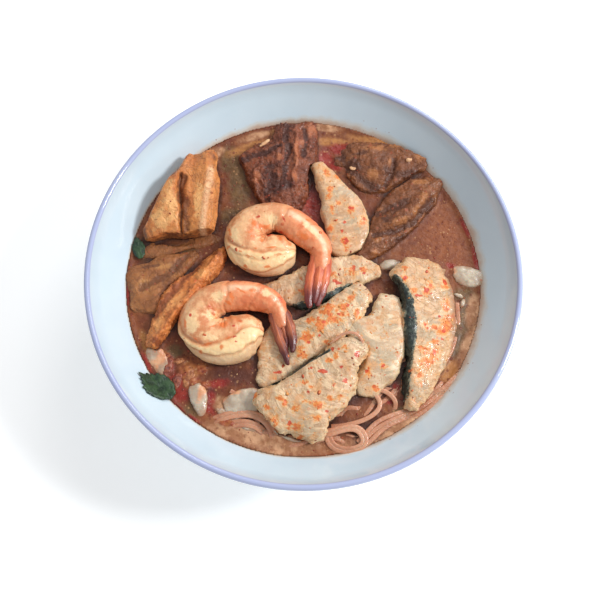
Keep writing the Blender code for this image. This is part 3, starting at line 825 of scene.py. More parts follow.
@dataclass(frozen=True)
class PaleFlesh(Finish):
    """Pale, half see-through flesh lying in the broth."""

    name: str = "pale_flesh"
    roughness: float = 0.3
    coat: float = 0.15
    soft: float = 0.35
    soft_depth: float = 2.0
    bump: float = 0.15

    def surface(self, nodes: Nodes) -> tuple[Socket, Value, Socket]:
        """Write the flesh, stained where it is low in the broth."""
        where = nodes.place()
        height = nodes.apart(where)[2]
        patch = nodes.effect(Effects.blotches(), {"Vector": where, "Scale": 200.0, "Low": 0.35, "High": 0.7})
        colour = nodes.mix(patch, tone(178, 160, 140), tone(202, 186, 164))
        low = nodes.step(nodes.calc("ADD", height, nodes.calc("MULTIPLY", patch, 1.0 * MM)),
                         (SOUP_LEVEL + 2.4) * MM, (SOUP_LEVEL + 0.5) * MM)
        colour = nodes.mix(nodes.calc("MULTIPLY", low, 0.8), colour, tone(176, 128, 96))
        stain = nodes.step(nodes.calc("ADD", nodes.attribute("stain"), nodes.calc("MULTIPLY", nodes.calc(
            "SUBTRACT", patch, 0.5), 0.5)), 0.2, 0.8)
        colour = nodes.mix(nodes.calc("MULTIPLY", stain, 0.85), colour, nodes.mix(patch, tone(214, 140, 96),
                                                                                 tone(230, 172, 128)))
        specks = nodes.effect(Effects.specks(), {"Vector": where, "Scale": 420.0, "Share": 0.12, "Size": 0.3})
        colour = nodes.mix(nodes.calc("MULTIPLY", specks, 0.5), colour, tone(190, 92, 60))
        return colour, 0.3, patch


@dataclass(frozen=True)
class Tint(Finish):
    """A small thing's finish: one colour that varies a little over it."""

    name: str = "tint"
    dark: tuple[int, int, int] = (180, 60, 35)
    light: tuple[int, int, int] = (222, 112, 60)
    grain: float = 500.0
    bump: float = 0.1

    def surface(self, nodes: Nodes) -> tuple[Socket, Value, Socket]:
        """Write the small thing's pattern."""
        where = nodes.place()
        patch = nodes.effect(Effects.blotches(), {"Vector": where, "Scale": self.grain, "Low": 0.35,
                                                  "High": 0.65})
        return nodes.mix(patch, tone(*self.dark), tone(*self.light)), self.roughness, patch


# ---- The bowl ----------------------------------------------------------------
@dataclass
class Bowl:
    """The white bowl, turned from the same curve as its solid. Sizes in millimetres."""

    base_top: float = 8.0
    flare: float = 2.5
    lip: float = 1.5
    wall_at_base: float = 4.4
    foot_radius: float = 39.0
    foot_width: float = 5.0
    foot_height: float = 5.0
    steps: int = 180

    def inside_height(self, radius: float) -> float:
        """Height of the inside at a radius."""
        reach = RIM_RADIUS - 2 * self.lip
        return self.base_top + (RIM_HEIGHT - self.lip - self.base_top) * (radius / reach) ** self.flare

    def inside_radius(self, height: float) -> float:
        """Radius of the inside at a height."""
        reach = RIM_RADIUS - 2 * self.lip
        rise = RIM_HEIGHT - self.lip - self.base_top
        return reach * (max(height - self.base_top, 0.0) / rise) ** (1.0 / self.flare)

    def outside(self, radius: float) -> Point:
        """Point of the outside that backs the inside at a radius."""
        share = radius / (RIM_RADIUS - 2 * self.lip)
        wall = self.wall_at_base + (2 * self.lip - self.wall_at_base) * share
        slope = self.flare * (self.inside_height(radius) - self.base_top) / radius
        length = math.hypot(1.0, slope)
        return radius + wall * slope / length, self.inside_height(radius) - wall / length

    def outline(self) -> list[Point]:
        """Radius and height along the bowl's section, from its inside round to its underside."""
        reach = RIM_RADIUS - 2 * self.lip
        inside = [(reach * i / 24, self.inside_height(reach * i / 24)) for i in range(25)]
        middle = (reach + self.lip, RIM_HEIGHT - self.lip)
        turns = [math.pi * i / 8 for i in range(1, 9)]
        lip = [(middle[0] - self.lip * math.cos(a), middle[1] + self.lip * math.sin(a)) for a in turns]
        outside = [self.outside(reach * i / 24) for i in range(23, 9, -1)]
        foot = self.foot_radius
        fillet = [(foot + 3.0, self.foot_height + 2.6), (foot + 1.2, self.foot_height + 1.4),
                  (foot + 0.5, self.foot_height)]
        ring = [(foot, 1.0), (foot - 0.4, 0.3), (foot - 1.0, 0.0),
                (foot - self.foot_width + 1.0, 0.0), (foot - self.foot_width + 0.4, 0.3),
                (foot - self.foot_width, 1.0), (foot - self.foot_width - 0.6, self.foot_height - 1.6),
                (foot - self.foot_width - 1.8, self.foot_height - 1.0), (0.0, self.foot_height - 1.6)]
        return inside + lip + [p for p in outside if p[0] > foot + 4.0] + fillet + ring

    def build(self) -> bpy.types.Object:
        """Draw the section by extruding a point, and spin it about the axis."""
        deselect()
        bpy.ops.mesh.primitive_plane_add(size=1.0, location=(0.0, 0.0, 0.0))
        bowl = named("glazed_bowl")
        bpy.ops.object.mode_set(mode="EDIT")
        bpy.ops.mesh.select_all(action="SELECT")
        bpy.ops.mesh.merge(type="CENTER")
        outline = self.outline()
        place = (0.0, 0.0)
        for index, (radius, height) in enumerate(outline):
            shift = ((radius - place[0]) * MM, 0.0, (height - place[1]) * MM)
            if index == 0:
                bpy.ops.transform.translate(value=shift)
            else:
                bpy.ops.mesh.extrude_region_move(TRANSFORM_OT_translate={"value": shift})
            place = (radius, height)
        bpy.ops.mesh.select_all(action="SELECT")
        bpy.ops.mesh.spin(steps=self.steps, angle=math.tau, center=(0, 0, 0), axis=(0, 0, 1))
        bpy.ops.mesh.select_all(action="SELECT")
        bpy.ops.mesh.remove_doubles(threshold=0.00002)
        bpy.ops.mesh.normals_make_consistent(inside=False)
        deselect()
        points = points_of(bowl)
        inside = [self.base_top - 0.5 < height and math.hypot(x, y) < self.inside_radius(height) + 1.0
                  for x, y, height in points]
        keep_values(bowl, "inner", np.array(inside, dtype=float))
        hand_over(bowl, Glaze().material(), "bowl", "bowl")
        return bowl


# ---- The soup ----------------------------------------------------------------
@dataclass
class Soup:
    """The broth: a fine sheet that climbs what it touches, coloured by what floats on it, and painted darker where
    shade falls between pieces.
    """

    bowl: Bowl
    cells: int = 290
    bury: float = 1.0            # how far the sheet reaches into the bowl's wall
    climb: float = 0.45          # height of the rim of broth against food
    climb_width: float = 1.0
    patches: dict[str, tuple[Patch, ...]] = field(default_factory=lambda: {
        "oil": (
            Patch(5.5, 44, 6.0, 16, -4), Patch(3, 30, 5, 5), Patch(21, 72.5, 10, 4.2, -6), Patch(12, 66, 5, 7),
            Patch(17, 63, 5, 4), Patch(86.5, 10, 1.7, 10, 8), Patch(82.5, 27, 1.5, 8, 20), Patch(26, 66, 7, 7), Patch(-61, -53, 4.5, 6.5, 20),
            Patch(-75, -44, 1.8, 8, 24), Patch(-65, -44, 3, 6), Patch(-37.5, -71.0, 5, 1.6, -12),
            Patch(-44, -60, 3, 5), Patch(41, -61.5, 3, 2.4), Patch(44, -55, 2, 4), Patch(74, 7, 3, 2, -30), Patch(-60, -65, 6, 2, -40), Patch(-87, -5, 1.4, 14, 4),
            Patch(-47, -64, 8, 3.4, -35), Patch(-41, -53, 7, 3.0, 5), Patch(-58, -58, 5, 5, 20),
            Patch(-52, -70, 4, 1.6, -35), Patch(-68, -53, 3, 5, 30)),
        "olive": (
            Patch(-33, 52, 7, 18, 6), Patch(-38, 66, 6, 10), Patch(-36, 34, 8, 6), Patch(-66, 13, 16, 6, 6),
            Patch(80, -20, 6, 12, -12), Patch(80, -9, 7, 6), Patch(74, -33, 6, 10, -24), Patch(-52, -66, 5, 5, -20),
            Patch(-42, -63, 4, 5, -20), Patch(-62, -37, 5, 4), Patch(48, -66, 9, 3, 20), Patch(58, -57, 5, 4, 40)),
        "gold": (
            Patch(-27, 73.5, 16, 4.0, 18), Patch(-10, 83, 10, 3.0, 10), Patch(36, 77, 16, 3, -14),
            Patch(77, -50, 4, 12, -34), Patch(-55, -49, 4.4, 7, 6), Patch(-76, -34, 3, 9, 24),
            Patch(70, -47, 4, 7, -30), Patch(-66, -66, 5, 3, -40), Patch(15, 77, 12, 3, -3)),
        "cream": (
            Patch(-26, -77, 22, 6, -14), Patch(-4, -84, 18, 4, 2), Patch(24, -83, 14, 4, 4), Patch(46, -72, 15, 5, 32),
            Patch(63, -58, 6, 5, -40), Patch(80, -35, 4, 13, -24), Patch(83, -17, 3.4, 10, -12), Patch(-38, -63, 6, 4, -16),
            Patch(12, 85, 9, 2.2, -6), Patch(-26, 80, 9, 2.4, 18), Patch(-46, 70, 6, 3, 36)),
        "warm": (
            Patch(72, 20, 16, 26, 20), Patch(-86, -14, 5, 28, 8), Patch(56, 8, 10, 8), Patch(58, -62, 24, 7, 36),
            Patch(-46, -70, 12, 6, -30), Patch(10, -84, 26, 6, 4), Patch(-30, -76, 20, 6, -10), Patch(-52, -44, 7, 8)),
        # The darkest patches: deeper broth, and painted shade between the pieces.
        "deep_shade": (
            Patch(-34, -49, 16, 6.5, -4), Patch(-22, -46, 6, 7), Patch(-8, 2, 14, 7, -10), Patch(-30, -1, 12, 7, 10),
            Patch(4, -2, 8, 8), Patch(-12, 38, 12, 5), Patch(-3, -22, 6, 10), Patch(22, -61, 10, 5, 10),
            Patch(62, 33, 6, 4, 40), Patch(-44, -57, 3, 5), Patch(-50, -60, 6, 3, -30), Patch(-18, -7, 12, 5), Patch(41, -50, 5, 9, 10)),
        "paste": (
            Patch(-66, -43, 3.0, 6, 10), Patch(-56, -47, 4.4, 4), Patch(-53, -52, 4.4, 3), Patch(-47, -54, 4, 2.2),
            Patch(-49, -46, 3, 3), Patch(-36, -72, 6, 1.8, -12)),
    })

    def build(self, neighbours: list[bpy.types.Object]) -> bpy.types.Object:
        """Make the broth round the pieces that stand in it.

        Args:
            neighbours: The finished pieces of food.

        Returns:
            The broth.
        """
        deselect()
        reach = SOUP_RADIUS + self.bury
        bpy.ops.mesh.primitive_grid_add(x_subdivisions=self.cells, y_subdivisions=self.cells,
                                        size=2 * reach * MM, location=(0, 0, SOUP_LEVEL * MM))
        soup = named("curry_broth")
        settle(soup)
        take(soup, edit=True)
        bpy.ops.mesh.select_all(action="DESELECT")
        bpy.ops.object.mode_set(mode="OBJECT")
        points = points_of(soup)
        outside = np.hypot(points[:, 0], points[:, 1]) > reach
        soup.data.vertices.foreach_set("select", outside)
        bpy.ops.object.mode_set(mode="EDIT")
        bpy.ops.mesh.delete(type="VERT")
        self.close_below(soup)
        self.shape_top(soup, neighbours)
        hand_over(soup, Curry().material(), "soup", "soup")
        return soup

    def close_below(self, soup: bpy.types.Object) -> None:
        """Extrude the sheet's rim down inside the bowl and close the bottom."""
        bpy.ops.mesh.select_all(action="SELECT")
        bpy.ops.mesh.region_to_loop()
        heights = (SOUP_LEVEL - 3.0, 34.0, 26.0, 18.0, 12.0)
        height, radius = SOUP_LEVEL, SOUP_RADIUS + self.bury
        for lower in heights:
            narrower = self.bowl.inside_radius(lower) - 1.0
            bpy.ops.mesh.extrude_edges_move(TRANSFORM_OT_translate={"value": (0, 0, (lower - height) * MM)})
            share = narrower / radius
            bpy.ops.transform.resize(value=(share, share, 1.0), center_override=(0, 0, lower * MM))
            height, radius = lower, narrower
        bpy.ops.mesh.edge_face_add()
        bpy.ops.mesh.select_all(action="SELECT")
        bpy.ops.mesh.normals_make_consistent(inside=False)
        bpy.ops.object.mode_set(mode="OBJECT")

    def shape_top(self, soup: bpy.types.Object, neighbours: list[bpy.types.Object]) -> None:
        """Raise the broth's rim against food and wall, and keep what its colours and its painted shade depend on."""
        points = points_of(soup)
        top = points[:, 2] > SOUP_LEVEL - 0.5
        tree = self.tree_of(neighbours)
        near = self.distance_to_food(points, top, tree)
        wall = np.clip(SOUP_RADIUS - np.hypot(points[:, 0], points[:, 1]), 0.0, None)
        rise = self.climb * np.exp(-(near / self.climb_width) ** 2)
        rise += 0.6 * np.exp(-(wall / 1.2) ** 2)
        values = {name: merged(pools, points) for name, pools in self.patches.items()}
        lumps = np.sin(points[:, 0] * 1.3 + 1.5 * np.sin(points[:, 1] * 0.9)) * np.sin(points[:, 1] * 1.5)
        rise += values["paste"] * (0.8 + 0.6 * lumps)
        points[:, 2] += np.where(top, rise - 0.15, 0.0)
        move_points(soup, points)
        take(soup)
        group = soup.vertex_groups.new(name="surface")
        group.add([int(index) for index in np.nonzero(top)[0]], 1.0, "REPLACE")
        for size, height in ((14.0, 0.4), (4.0, 0.4), (1.6, 0.28)):
            relief_in_group(soup, "surface", size, height, "Z")
        soup.vertex_groups.clear()
        for name, value in values.items():
            keep_values(soup, name, value)
        # The share of painted shade in the gaps between pieces.
        keep_values(soup, "gap_shade", self.shade_in_gaps(points, tree))

    @staticmethod
    def tree_of(neighbours: list[bpy.types.Object]) -> BVHTree:
        """Gather the pieces into one tree, in millimetres."""
        corners, faces, first = [], [], 0
        for piece in neighbours:
            piece_points = points_of(piece)
            corners.extend(map(tuple, piece_points))
            faces.extend([[first + corner for corner in face.vertices] for face in piece.data.polygons])
            first += len(piece_points)
        return BVHTree.FromPolygons(corners, faces)

    @staticmethod
    def distance_to_food(points: np.ndarray, top: np.ndarray, tree: BVHTree) -> np.ndarray:
        """Distance from each point of the surface to the nearest piece, up to 6 mm."""
        near = np.full(len(points), 6.0)
        for index in np.nonzero(top)[0]:
            hit = tree.find_nearest(Vector(points[index]), 6.0)
            if hit[3] is not None:
                near[index] = hit[3]
        return near

    @staticmethod
    def shade_in_gaps(points: np.ndarray, tree: BVHTree) -> np.ndarray:
        """How much food stands round each point, 0 on open broth and 1 in a narrow gap: the share of painted shade
        there.
        """
        cells, spread = 180, 7
        first = -cells / 2.0 + 0.5
        covered = np.zeros((cells, cells))
        for row in range(cells):
            for column in range(cells):
                start = Vector((first + column, first + row, SOUP_LEVEL + 1.2))
                covered[row, column] = tree.ray_cast(start, Vector((0, 0, 1)), 30.0)[0] is not None
        kernel = np.ones(spread) / spread
        for _ in range(2):
            for axis in (0, 1):
                covered = np.apply_along_axis(lambda line: np.convolve(line, kernel, "same"), axis, covered)
        columns = np.clip(np.rint(points[:, 0] - first), 0, cells - 1).astype(int)
        rows = np.clip(np.rint(points[:, 1] - first), 0, cells - 1).astype(int)
        return covered[rows, columns]


def relief_in_group(piece: bpy.types.Object, group: str, size: float, height: float,
                    direction: str) -> None:
    """Add cloud relief to a vertex group of a piece.

    Args:
        piece: The object.
        group: Name of the vertex group.
        size: Size of the clouds in millimetres.
        height: Height of the relief in millimetres.
        direction: Which way to move the points: Z or NORMAL.
    """
    texture = bpy.data.textures.new("ripples", "CLOUDS")
    texture.noise_scale = size * MM
    modify(piece, "DISPLACE", texture=texture, strength=height * MM, mid_level=0.5, direction=direction,
           vertex_group=group)
    bpy.data.textures.remove(texture)


# ---- Prawns ------------------------------------------------------------------
Station = tuple[float, float, float, float, float]


@dataclass(frozen=True)
class Course:
    """A smooth line through stations: x, y, height above the soup, half width, half height."""

    stations: tuple[Station, ...]

    def rows(self, steps: int = 12) -> np.ndarray:
        """Read the line at many places, eased through the stations.

        Args:
            steps: How many places to read between two stations.

        Returns:
            One row for each place, laid out as a station is.
        """
        marks = np.array(self.stations)
        marks = np.vstack([2 * marks[0] - marks[1], marks, 2 * marks[-1] - marks[-2]])
        rows = []
        for first, start, end, last in zip(marks, marks[1:], marks[2:], marks[3:]):
            for share in np.arange(steps) / steps:
                rows.append(0.5 * (2 * start + (end - first) * share
                                   + (2 * first - 5 * start + 4 * end - last) * share ** 2
                                   + (3 * start - first - 3 * end + last) * share ** 3))
        rows.append(marks[-2])
        return np.array(rows)

    def travel(self) -> tuple[np.ndarray, np.ndarray]:
        """The line's rows and the distance travelled at each of them."""
        rows = self.rows()
        steps = np.linalg.norm(np.diff(rows[:, :3], axis=0), axis=1)
        return rows, np.concatenate([[0.0], np.cumsum(steps)])

    def straight(self, name: str, rings: int, sides: int, finer: int) -> bpy.types.Object:
        """Draw the form straight along +X by extruding a round face, ring by ring.

        Args:
            name: Name of the new object.
            rings: How many rings to extrude.
            sides: How many sides a ring has.
            finer: How often the mesh is subdivided afterwards.

        Returns:
            The straight form, closed at both ends.
        """
        rows, travel = self.travel()
        length = travel[-1]
        deselect()
        bpy.ops.mesh.primitive_circle_add(vertices=sides, radius=1.0, fill_type="NGON",
                                          location=(0, 0, 0), rotation=(0, math.pi / 2, 0))
        form = named(name)
        settle(form)
        take(form, edit=True)
        wide, high = 1.0 / MM, 1.0 / MM
        for ring in range(rings + 1):
            place = length * ring / rings
            if ring:
                bpy.ops.mesh.extrude_region_move(
                    TRANSFORM_OT_translate={"value": (length / rings * MM, 0, 0)})
            wider, higher = (float(np.interp(place, travel, rows[:, column])) for column in (3, 4))
            bpy.ops.transform.resize(value=(1.0, wider / wide, higher / high),
                                     center_override=(place * MM, 0, 0))
            wide, high = wider, higher
        bpy.ops.mesh.select_all(action="SELECT")
        bpy.ops.mesh.normals_make_consistent(inside=False)
        deselect()
        modify(form, "SUBSURF", levels=finer, render_levels=finer)
        return form

    def local(self, points: np.ndarray) -> tuple[np.ndarray, np.ndarray, np.ndarray]:
        """Shares of points of the straight form: along it, across its width, up its height."""
        rows, travel = self.travel()
        wide, high = (np.interp(points[:, 0], travel, rows[:, column]) for column in (3, 4))
        return points[:, 0] / travel[-1], points[:, 1] / wide, points[:, 2] / high

    def bend(self, form: bpy.types.Object) -> None:
        """Bend the straight form along the line with a Curve modifier."""
        rows, _ = self.travel()
        marks = [Vector(row[:3]) + Vector((0.0, 0.0, SOUP_LEVEL)) for row in rows]
        lead = 4.0
        marks.insert(0, marks[0] - (marks[1] - marks[0]).normalized() * lead)
        marks.append(marks[-1] + (marks[-1] - marks[-2]).normalized() * lead)
        data = bpy.data.curves.new("course", "CURVE")
        data.dimensions = "3D"
        data.twist_mode = "Z_UP"
        spline = data.splines.new("POLY")
        spline.points.add(len(marks) - 1)
        for point, mark in zip(spline.points, marks):
            point.co = (*(mark * MM), 1.0)
        path = bpy.data.objects.new("course", data)
        bpy.context.scene.collection.objects.link(path)
        points = points_of(form)
        points[:, 0] += lead
        move_points(form, points)
        modify(form, "CURVE", object=path, deform_axis="POS_X")
        bpy.data.objects.remove(path)


@dataclass
class Prawn:
    """A peeled prawn, split along its back, with its tail on.

    Its body and the blades of its tail are modelled straight, with the back towards +Y,
    and are then bent along their courses. The seam is where the split back folds over, and
    the flap ends below it; both are places across the back, from -1 to 1, along the body.
    """

    node: str
    finish: Finish
    body: Course
    blades: tuple[Course, ...]
    seam: tuple[Point, ...]
    flap: tuple[Point, ...]
    creases: tuple[Point, ...]   # share of the body and depth in millimetres
    stains: dict[str, tuple[Patch, ...]]
    seed: float = 0.0
    folds: tuple[Point, ...] = ((0.36, 0.5),)   # share of the belly and depth in millimetres

    def build(self) -> bpy.types.Object:
        """Model the body and the blades, mark them for their colours and join them."""
        body = self.body.straight(f"{self.node}_curled", rings=60, sides=28, finer=2)
        self.carve(body)
        relief(body, "CLOUDS", 6.0, 0.8)
        relief(body, "CLOUDS", 2.2, 0.28)
        self.body.bend(body)
        points = points_of(body)
        on_top = normals_of(body)[:, 2] > 0.1
        # The pale channel holds paler flesh and painted highlights.
        keep_values(body, "stain", np.column_stack(
            [merged(self.stains[kind], points) * on_top for kind in ("orange", "red", "pale")]))
        take(body)
        for blade in [self.blade(index, course) for index, course in enumerate(self.blades)]:
            blade.select_set(True)
        bpy.context.view_layer.objects.active = body
        body.select_set(True)
        bpy.ops.object.join()
        hand_over(body, self.finish.material(), "prawns", self.node)
        return body

    def blade(self, index: int, course: Course) -> bpy.types.Object:
        """Shape one blade of the tail fan, with a keel and fine ribs.

        Args:
            index: The blade's number, which names it.
            course: Its line.

        Returns:
            The blade.
        """
        blade = course.straight(f"blade_{index}", rings=16, sides=14, finer=2)
        points = points_of(blade)
        along, across, up = course.local(points)
        top = np.clip(up, 0.0, 1.0)
        points[:, 2] += 0.30 * np.exp(-(across / 0.40) ** 2) * top
        points[:, 2] += 0.04 * np.sin(points[:, 1] * 7.0) * np.clip(along * 3.0, 0.0, 1.0)
        points[:, 1] += 0.18 * np.sin(points[:, 0] * 1.1 + index) * np.abs(across)
        move_points(blade, points)
        keep_values(blade, "straight", np.column_stack([1.0 + along, across, up]))
        # The crease layer at the blade's edges paints shade between the blades.
        keep_values(blade, "layer", np.column_stack(
            [0.6 * np.exp(-((np.abs(across) - 0.95) / 0.25) ** 2), np.zeros(len(points)), np.zeros(len(points))]))
        course.bend(blade)
        return blade

    def carve(self, body: bpy.types.Object) -> None:
        """Cut the split along the back, the creases between segments and the belly's folds."""
        points = points_of(body)
        along, across, up = self.body.local(points)
        angle = np.degrees(np.arctan2(up, across))
        reach = np.hypot(points[:, 1], points[:, 2])
        wave = 2.2 * np.sin(along * 61.0 + self.seed) + 1.4 * np.sin(along * 137.0 + self.seed * 3.0)
        seam = self.turned(along, self.seam) + 0.6 * wave
        flap = self.turned(along, self.flap) + 0.8 * wave
        ease = np.clip((self.seam[-1][0] - along) / 0.05, 0.0, 1.0)
        outer = (angle > -80.0) * ease
        cut = np.exp(-((angle - seam) / 5.0) ** 2) * outer
        under = np.exp(-((angle - flap) / 5.5) ** 2) * outer
        raised = np.clip((seam - angle) / 6.0, 0.0, 1.0) * np.clip((angle - flap) / 4.0, 0.0, 1.0) * ease
        below = np.clip((flap - angle) / 7.0, 0.0, 1.0) * outer
        reach += 0.4 * raised - 0.8 * cut - 0.7 * under - 0.8 * below
        fold_share = (seam - angle) / np.maximum(seam - flap, 1.0) + 0.03 * np.sin(along * 31.0 + self.seed)
        # The crease layer colours the seam orange and paints shade into the grooves and under the flap's edge.
        crease = 0.7 * cut + 0.45 * under
        for share, depth in self.folds:
            groove = np.exp(-((fold_share - share) / 0.055) ** 2) * raised
            reach -= depth * groove
            crease = np.maximum(crease, 0.7 * depth * groove)
        for place, depth in self.creases:
            slant = along - place - 0.02 * across + 0.010 * np.sin(angle / 17.0 + place * 40.0)
            dip = np.exp(-(slant / 0.010) ** 2)
            reach -= depth * dip
            reach += 0.5 * depth * np.exp(-((slant + 0.022) / 0.016) ** 2)
            crease = np.maximum(crease, 0.6 * dip * min(depth, 1.0))
        inner = np.clip((-across - 0.30) / 0.4, 0.0, 1.0) * np.clip((0.51 - along) / 0.1, 0.0, 1.0)
        ripple = np.sin(along * 122.0 + 1.4 * np.sin(along * 23.0 + self.seed))
        reach += 0.22 * inner * ripple
        crease = np.maximum(crease, 0.25 * inner * np.clip(-ripple, 0.0, 1.0))
        turn = np.arctan2(points[:, 2], points[:, 1])
        reach = np.maximum(reach, 0.3)
        points[:, 1], points[:, 2] = reach * np.cos(turn), reach * np.sin(turn)
        move_points(body, points)
        keep_values(body, "straight", np.column_stack([along, across, up]))
        keep_values(body, "layer", np.column_stack([crease, raised, below]))

    @staticmethod
    def turned(along: np.ndarray, places: tuple[Point, ...]) -> np.ndarray:
        """Turn places across the back into angles round the body, at each share along it."""
        shares = np.interp(along, [place[0] for place in places], [place[1] for place in places])
        return np.degrees(np.arccos(np.clip(shares, -1.0, 1.0)))


# ---- Fish --------------------------------------------------------------------
@dataclass(frozen=True)
class Pull:
    """A soft pull on a piece, as with proportional editing: from a place, by a shift, in millimetres."""

    x: float
    y: float
    east: float
    north: float
    reach: float
    up: float = 0.0

    def apply(self, points: np.ndarray) -> None:
        """Move the points within reach."""
        away = np.hypot(points[:, 0] - self.x, points[:, 1] - self.y)
        share = np.clip(1.0 - (away / self.reach) ** 2, 0.0, 1.0) ** 2
        points += np.outer(share, (self.east, self.north, self.up))


@dataclass
class FishSlice:
    """A slice of fish carved from its solid.

    The heading is the way its muscle runs, in degrees, and the skin is a line seen from
    above along which its dark skin shows.
    """

    node: str
    heading: float
    oil: tuple[Patch, ...] = ()
    chilli: tuple[Patch, ...] = ()
    rough: float = 1.0
    skin: tuple[Point, ...] = ()
    skin_width: float = 2.5
    pulls: tuple[Pull, ...] = ()
    finish: FishFlesh = FishFlesh()

    def build(self) -> bpy.types.Object:
        """Carve the slice and mark its stains and its skin."""
        piece = copy_of_node(self.node, f"{self.node}_slice")
        remesh(piece, 0.7, 3)
        points = points_of(piece)
        for pull in self.pulls:
            pull.apply(points)
        move_points(piece, points)
        along = bpy.data.objects.new("muscle", None)
        bpy.context.scene.collection.objects.link(along)
        along.rotation_euler = (0, 0, math.radians(self.heading + 70.0))
        along.scale = (9.0 * MM, 2.2 * MM, 2.2 * MM)
        bpy.context.view_layer.update()
        relief(piece, "CLOUDS", 13.0, 2.0 * self.rough)
        relief(piece, "CLOUDS", 1.6, 0.45 * self.rough, guide=along, noise_depth=1)
        relief(piece, "CLOUDS", 5.0, 0.8 * self.rough)
        relief(piece, "CLOUDS", 1.4, 0.35 * self.rough)
        bpy.data.objects.remove(along)
        self.fray(piece)
        self.mark(piece)
        hand_over(piece, self.finish.material(), "fish", self.node)
        return piece

    def fray(self, piece: bpy.types.Object) -> None:
        """Roughen the slice's sides, where its flakes part."""
        sides = 1.0 - np.clip(np.abs(normals_of(piece)[:, 2]) / 0.75, 0.0, 1.0)
        group = piece.vertex_groups.new(name="sides")
        for index, share in enumerate(sides):
            if share > 0.02:
                group.add([index], float(share), "REPLACE")
        for size, height in ((3.4, 3.8), (1.5, 1.9)):
            relief_in_group(piece, "sides", size, height * self.rough, "NORMAL")
        piece.vertex_groups.clear()

    def frame_of(self, points: np.ndarray) -> tuple[np.ndarray, np.ndarray]:
        """Distances of points along the heading and to its left, from the middle."""
        angle = math.radians(self.heading)
        middle = (points.max(axis=0) + points.min(axis=0)) / 2
        east, north = points[:, 0] - middle[0], points[:, 1] - middle[1]
        return (east * math.cos(angle) + north * math.sin(angle),
                north * math.cos(angle) - east * math.sin(angle))

    def mark(self, piece: bpy.types.Object) -> None:
        """Keep the grain's coordinates, the sloping edges that take a painted highlight, the oil, the flakes of chilli
        and the skin.
        """
        points = points_of(piece)
        along, across = self.frame_of(points)
        bowed = along + 0.035 * across ** 2
        keep_values(piece, "grain", np.column_stack([bowed * 0.9, across * 0.16, points[:, 2] * 0.3]))
        skin = np.zeros(len(points))
        if self.skin:
            skin = np.clip(1.5 - distance_to_line(points, self.skin) / self.skin_width, 0.0, 1.2)
        facing = normals_of(piece)[:, 2]
        on_top = facing > 0.1
        # Sloping faces above the broth, where paler frayed flesh and a painted highlight go.
        keep_values(piece, "rim", np.clip((0.92 - facing) / 0.45, 0.0, 1.0) * (points[:, 2] > SOUP_LEVEL + 2.0))
        keep_values(piece, "stain", np.column_stack(
            [merged(self.oil, points), merged(self.chilli, points) * on_top, skin]))


# ---- Tofu --------------------------------------------------------------------
@dataclass(frozen=True)
class Crease:
    """A fold pressed into a puff along a line seen from above; a negative depth is a ridge."""

    line: tuple[Point, ...]
    depth: float
    width: float


@dataclass
class TofuPuff:
    """A fried tofu puff carved from its solid."""

    node: str
    fry: Fry
    creases: tuple[Crease, ...] = ()
    pulls: tuple[Pull, ...] = ()
    torn: tuple[Point, ...] = ()      # line along which the sponge inside shows
    torn_width: float = 3.0
    # Light patches: lighter skin and painted highlights; dark patches: darker skin and painted shade.
    light: tuple[Patch, ...] = ()
    dark: tuple[Patch, ...] = ()
    cut: tuple[float, float, float] | None = None    # a place and the way that a flat cut faces
    puff: float = 1.0                 # height of the large swellings
    crumb: float = 1.0                # height of the fine relief
    slot: str = "fried_tofu"

    def build(self) -> bpy.types.Object:
        """Carve the puff: folds first, then the wrinkles and the crumb of its skin."""
        piece = copy_of_node(self.node, f"{self.node}_puff")
        if self.cut:
            x, y, turn = self.cut
            take(piece, edit=True)
            bpy.ops.mesh.select_all(action="SELECT")
            bpy.ops.mesh.bisect(plane_co=(x * MM, y * MM, 0), plane_no=(math.cos(math.radians(turn)), math.sin(
                math.radians(turn)), 0), use_fill=True, clear_outer=True)
            bpy.ops.object.mode_set(mode="OBJECT")
        remesh(piece, 0.65, 2)
        points = points_of(piece)
        for pull in self.pulls:
            pull.apply(points)
        move_points(piece, points)
        relief(piece, "CLOUDS", 13.0, 2.2 * self.puff)
        relief(piece, "CLOUDS", 6.0, 1.5 * self.puff, noise_type="HARD_NOISE")
        points = points_of(piece)
        upward = np.clip(normals_of(piece)[:, 2] * 1.3, 0.0, 1.0)
        # Pressed folds are darkened: painted shade in the slit and the folds.
        folded = np.zeros(len(points))
        for crease in self.creases:
            press = np.exp(-(distance_to_line(points, crease.line) / crease.width) ** 2)
            points[:, 2] -= crease.depth * press * upward
            folded = np.maximum(folded, press * (crease.depth > 0.0))
        move_points(piece, points)
        relief(piece, "CLOUDS", 2.6, 0.8 * self.crumb, noise_type="HARD_NOISE")
        relief(piece, "CLOUDS", 1.1, 0.7 * self.crumb)
        points, normals = points_of(piece), normals_of(piece)
        torn = np.zeros(len(points))
        if self.torn:
            torn = np.clip(1.2 - distance_to_line(points, self.torn) / self.torn_width, 0.0, 1.0)
        # Painted shade on a cut puff's steep underside that faces south, joined with the folds and the dark patches.
        under = np.clip(0.7 - normals[:, 2] - 0.8 * normals[:, 0], 0.0, 1.0) * np.clip(-2.0 * normals[:, 1], 0.0, 1.0)
        dark = np.maximum.reduce([folded, merged(self.dark, points), under if self.cut else 0.0 * folded])
        keep_values(piece, "marks", np.column_stack([torn, merged(self.light, points), dark]))
        finish = TofuSkin(name=f"tofu_{self.fry.name.lower()}", fry=self.fry,
                          mottling=0.15 if self.fry is Fry.GOLDEN else 0.35,
                          coat=0.06 if self.slot == "soaked_tofu" else 0.0)
        hand_over(piece, finish.material(), self.slot, self.node)
        return piece


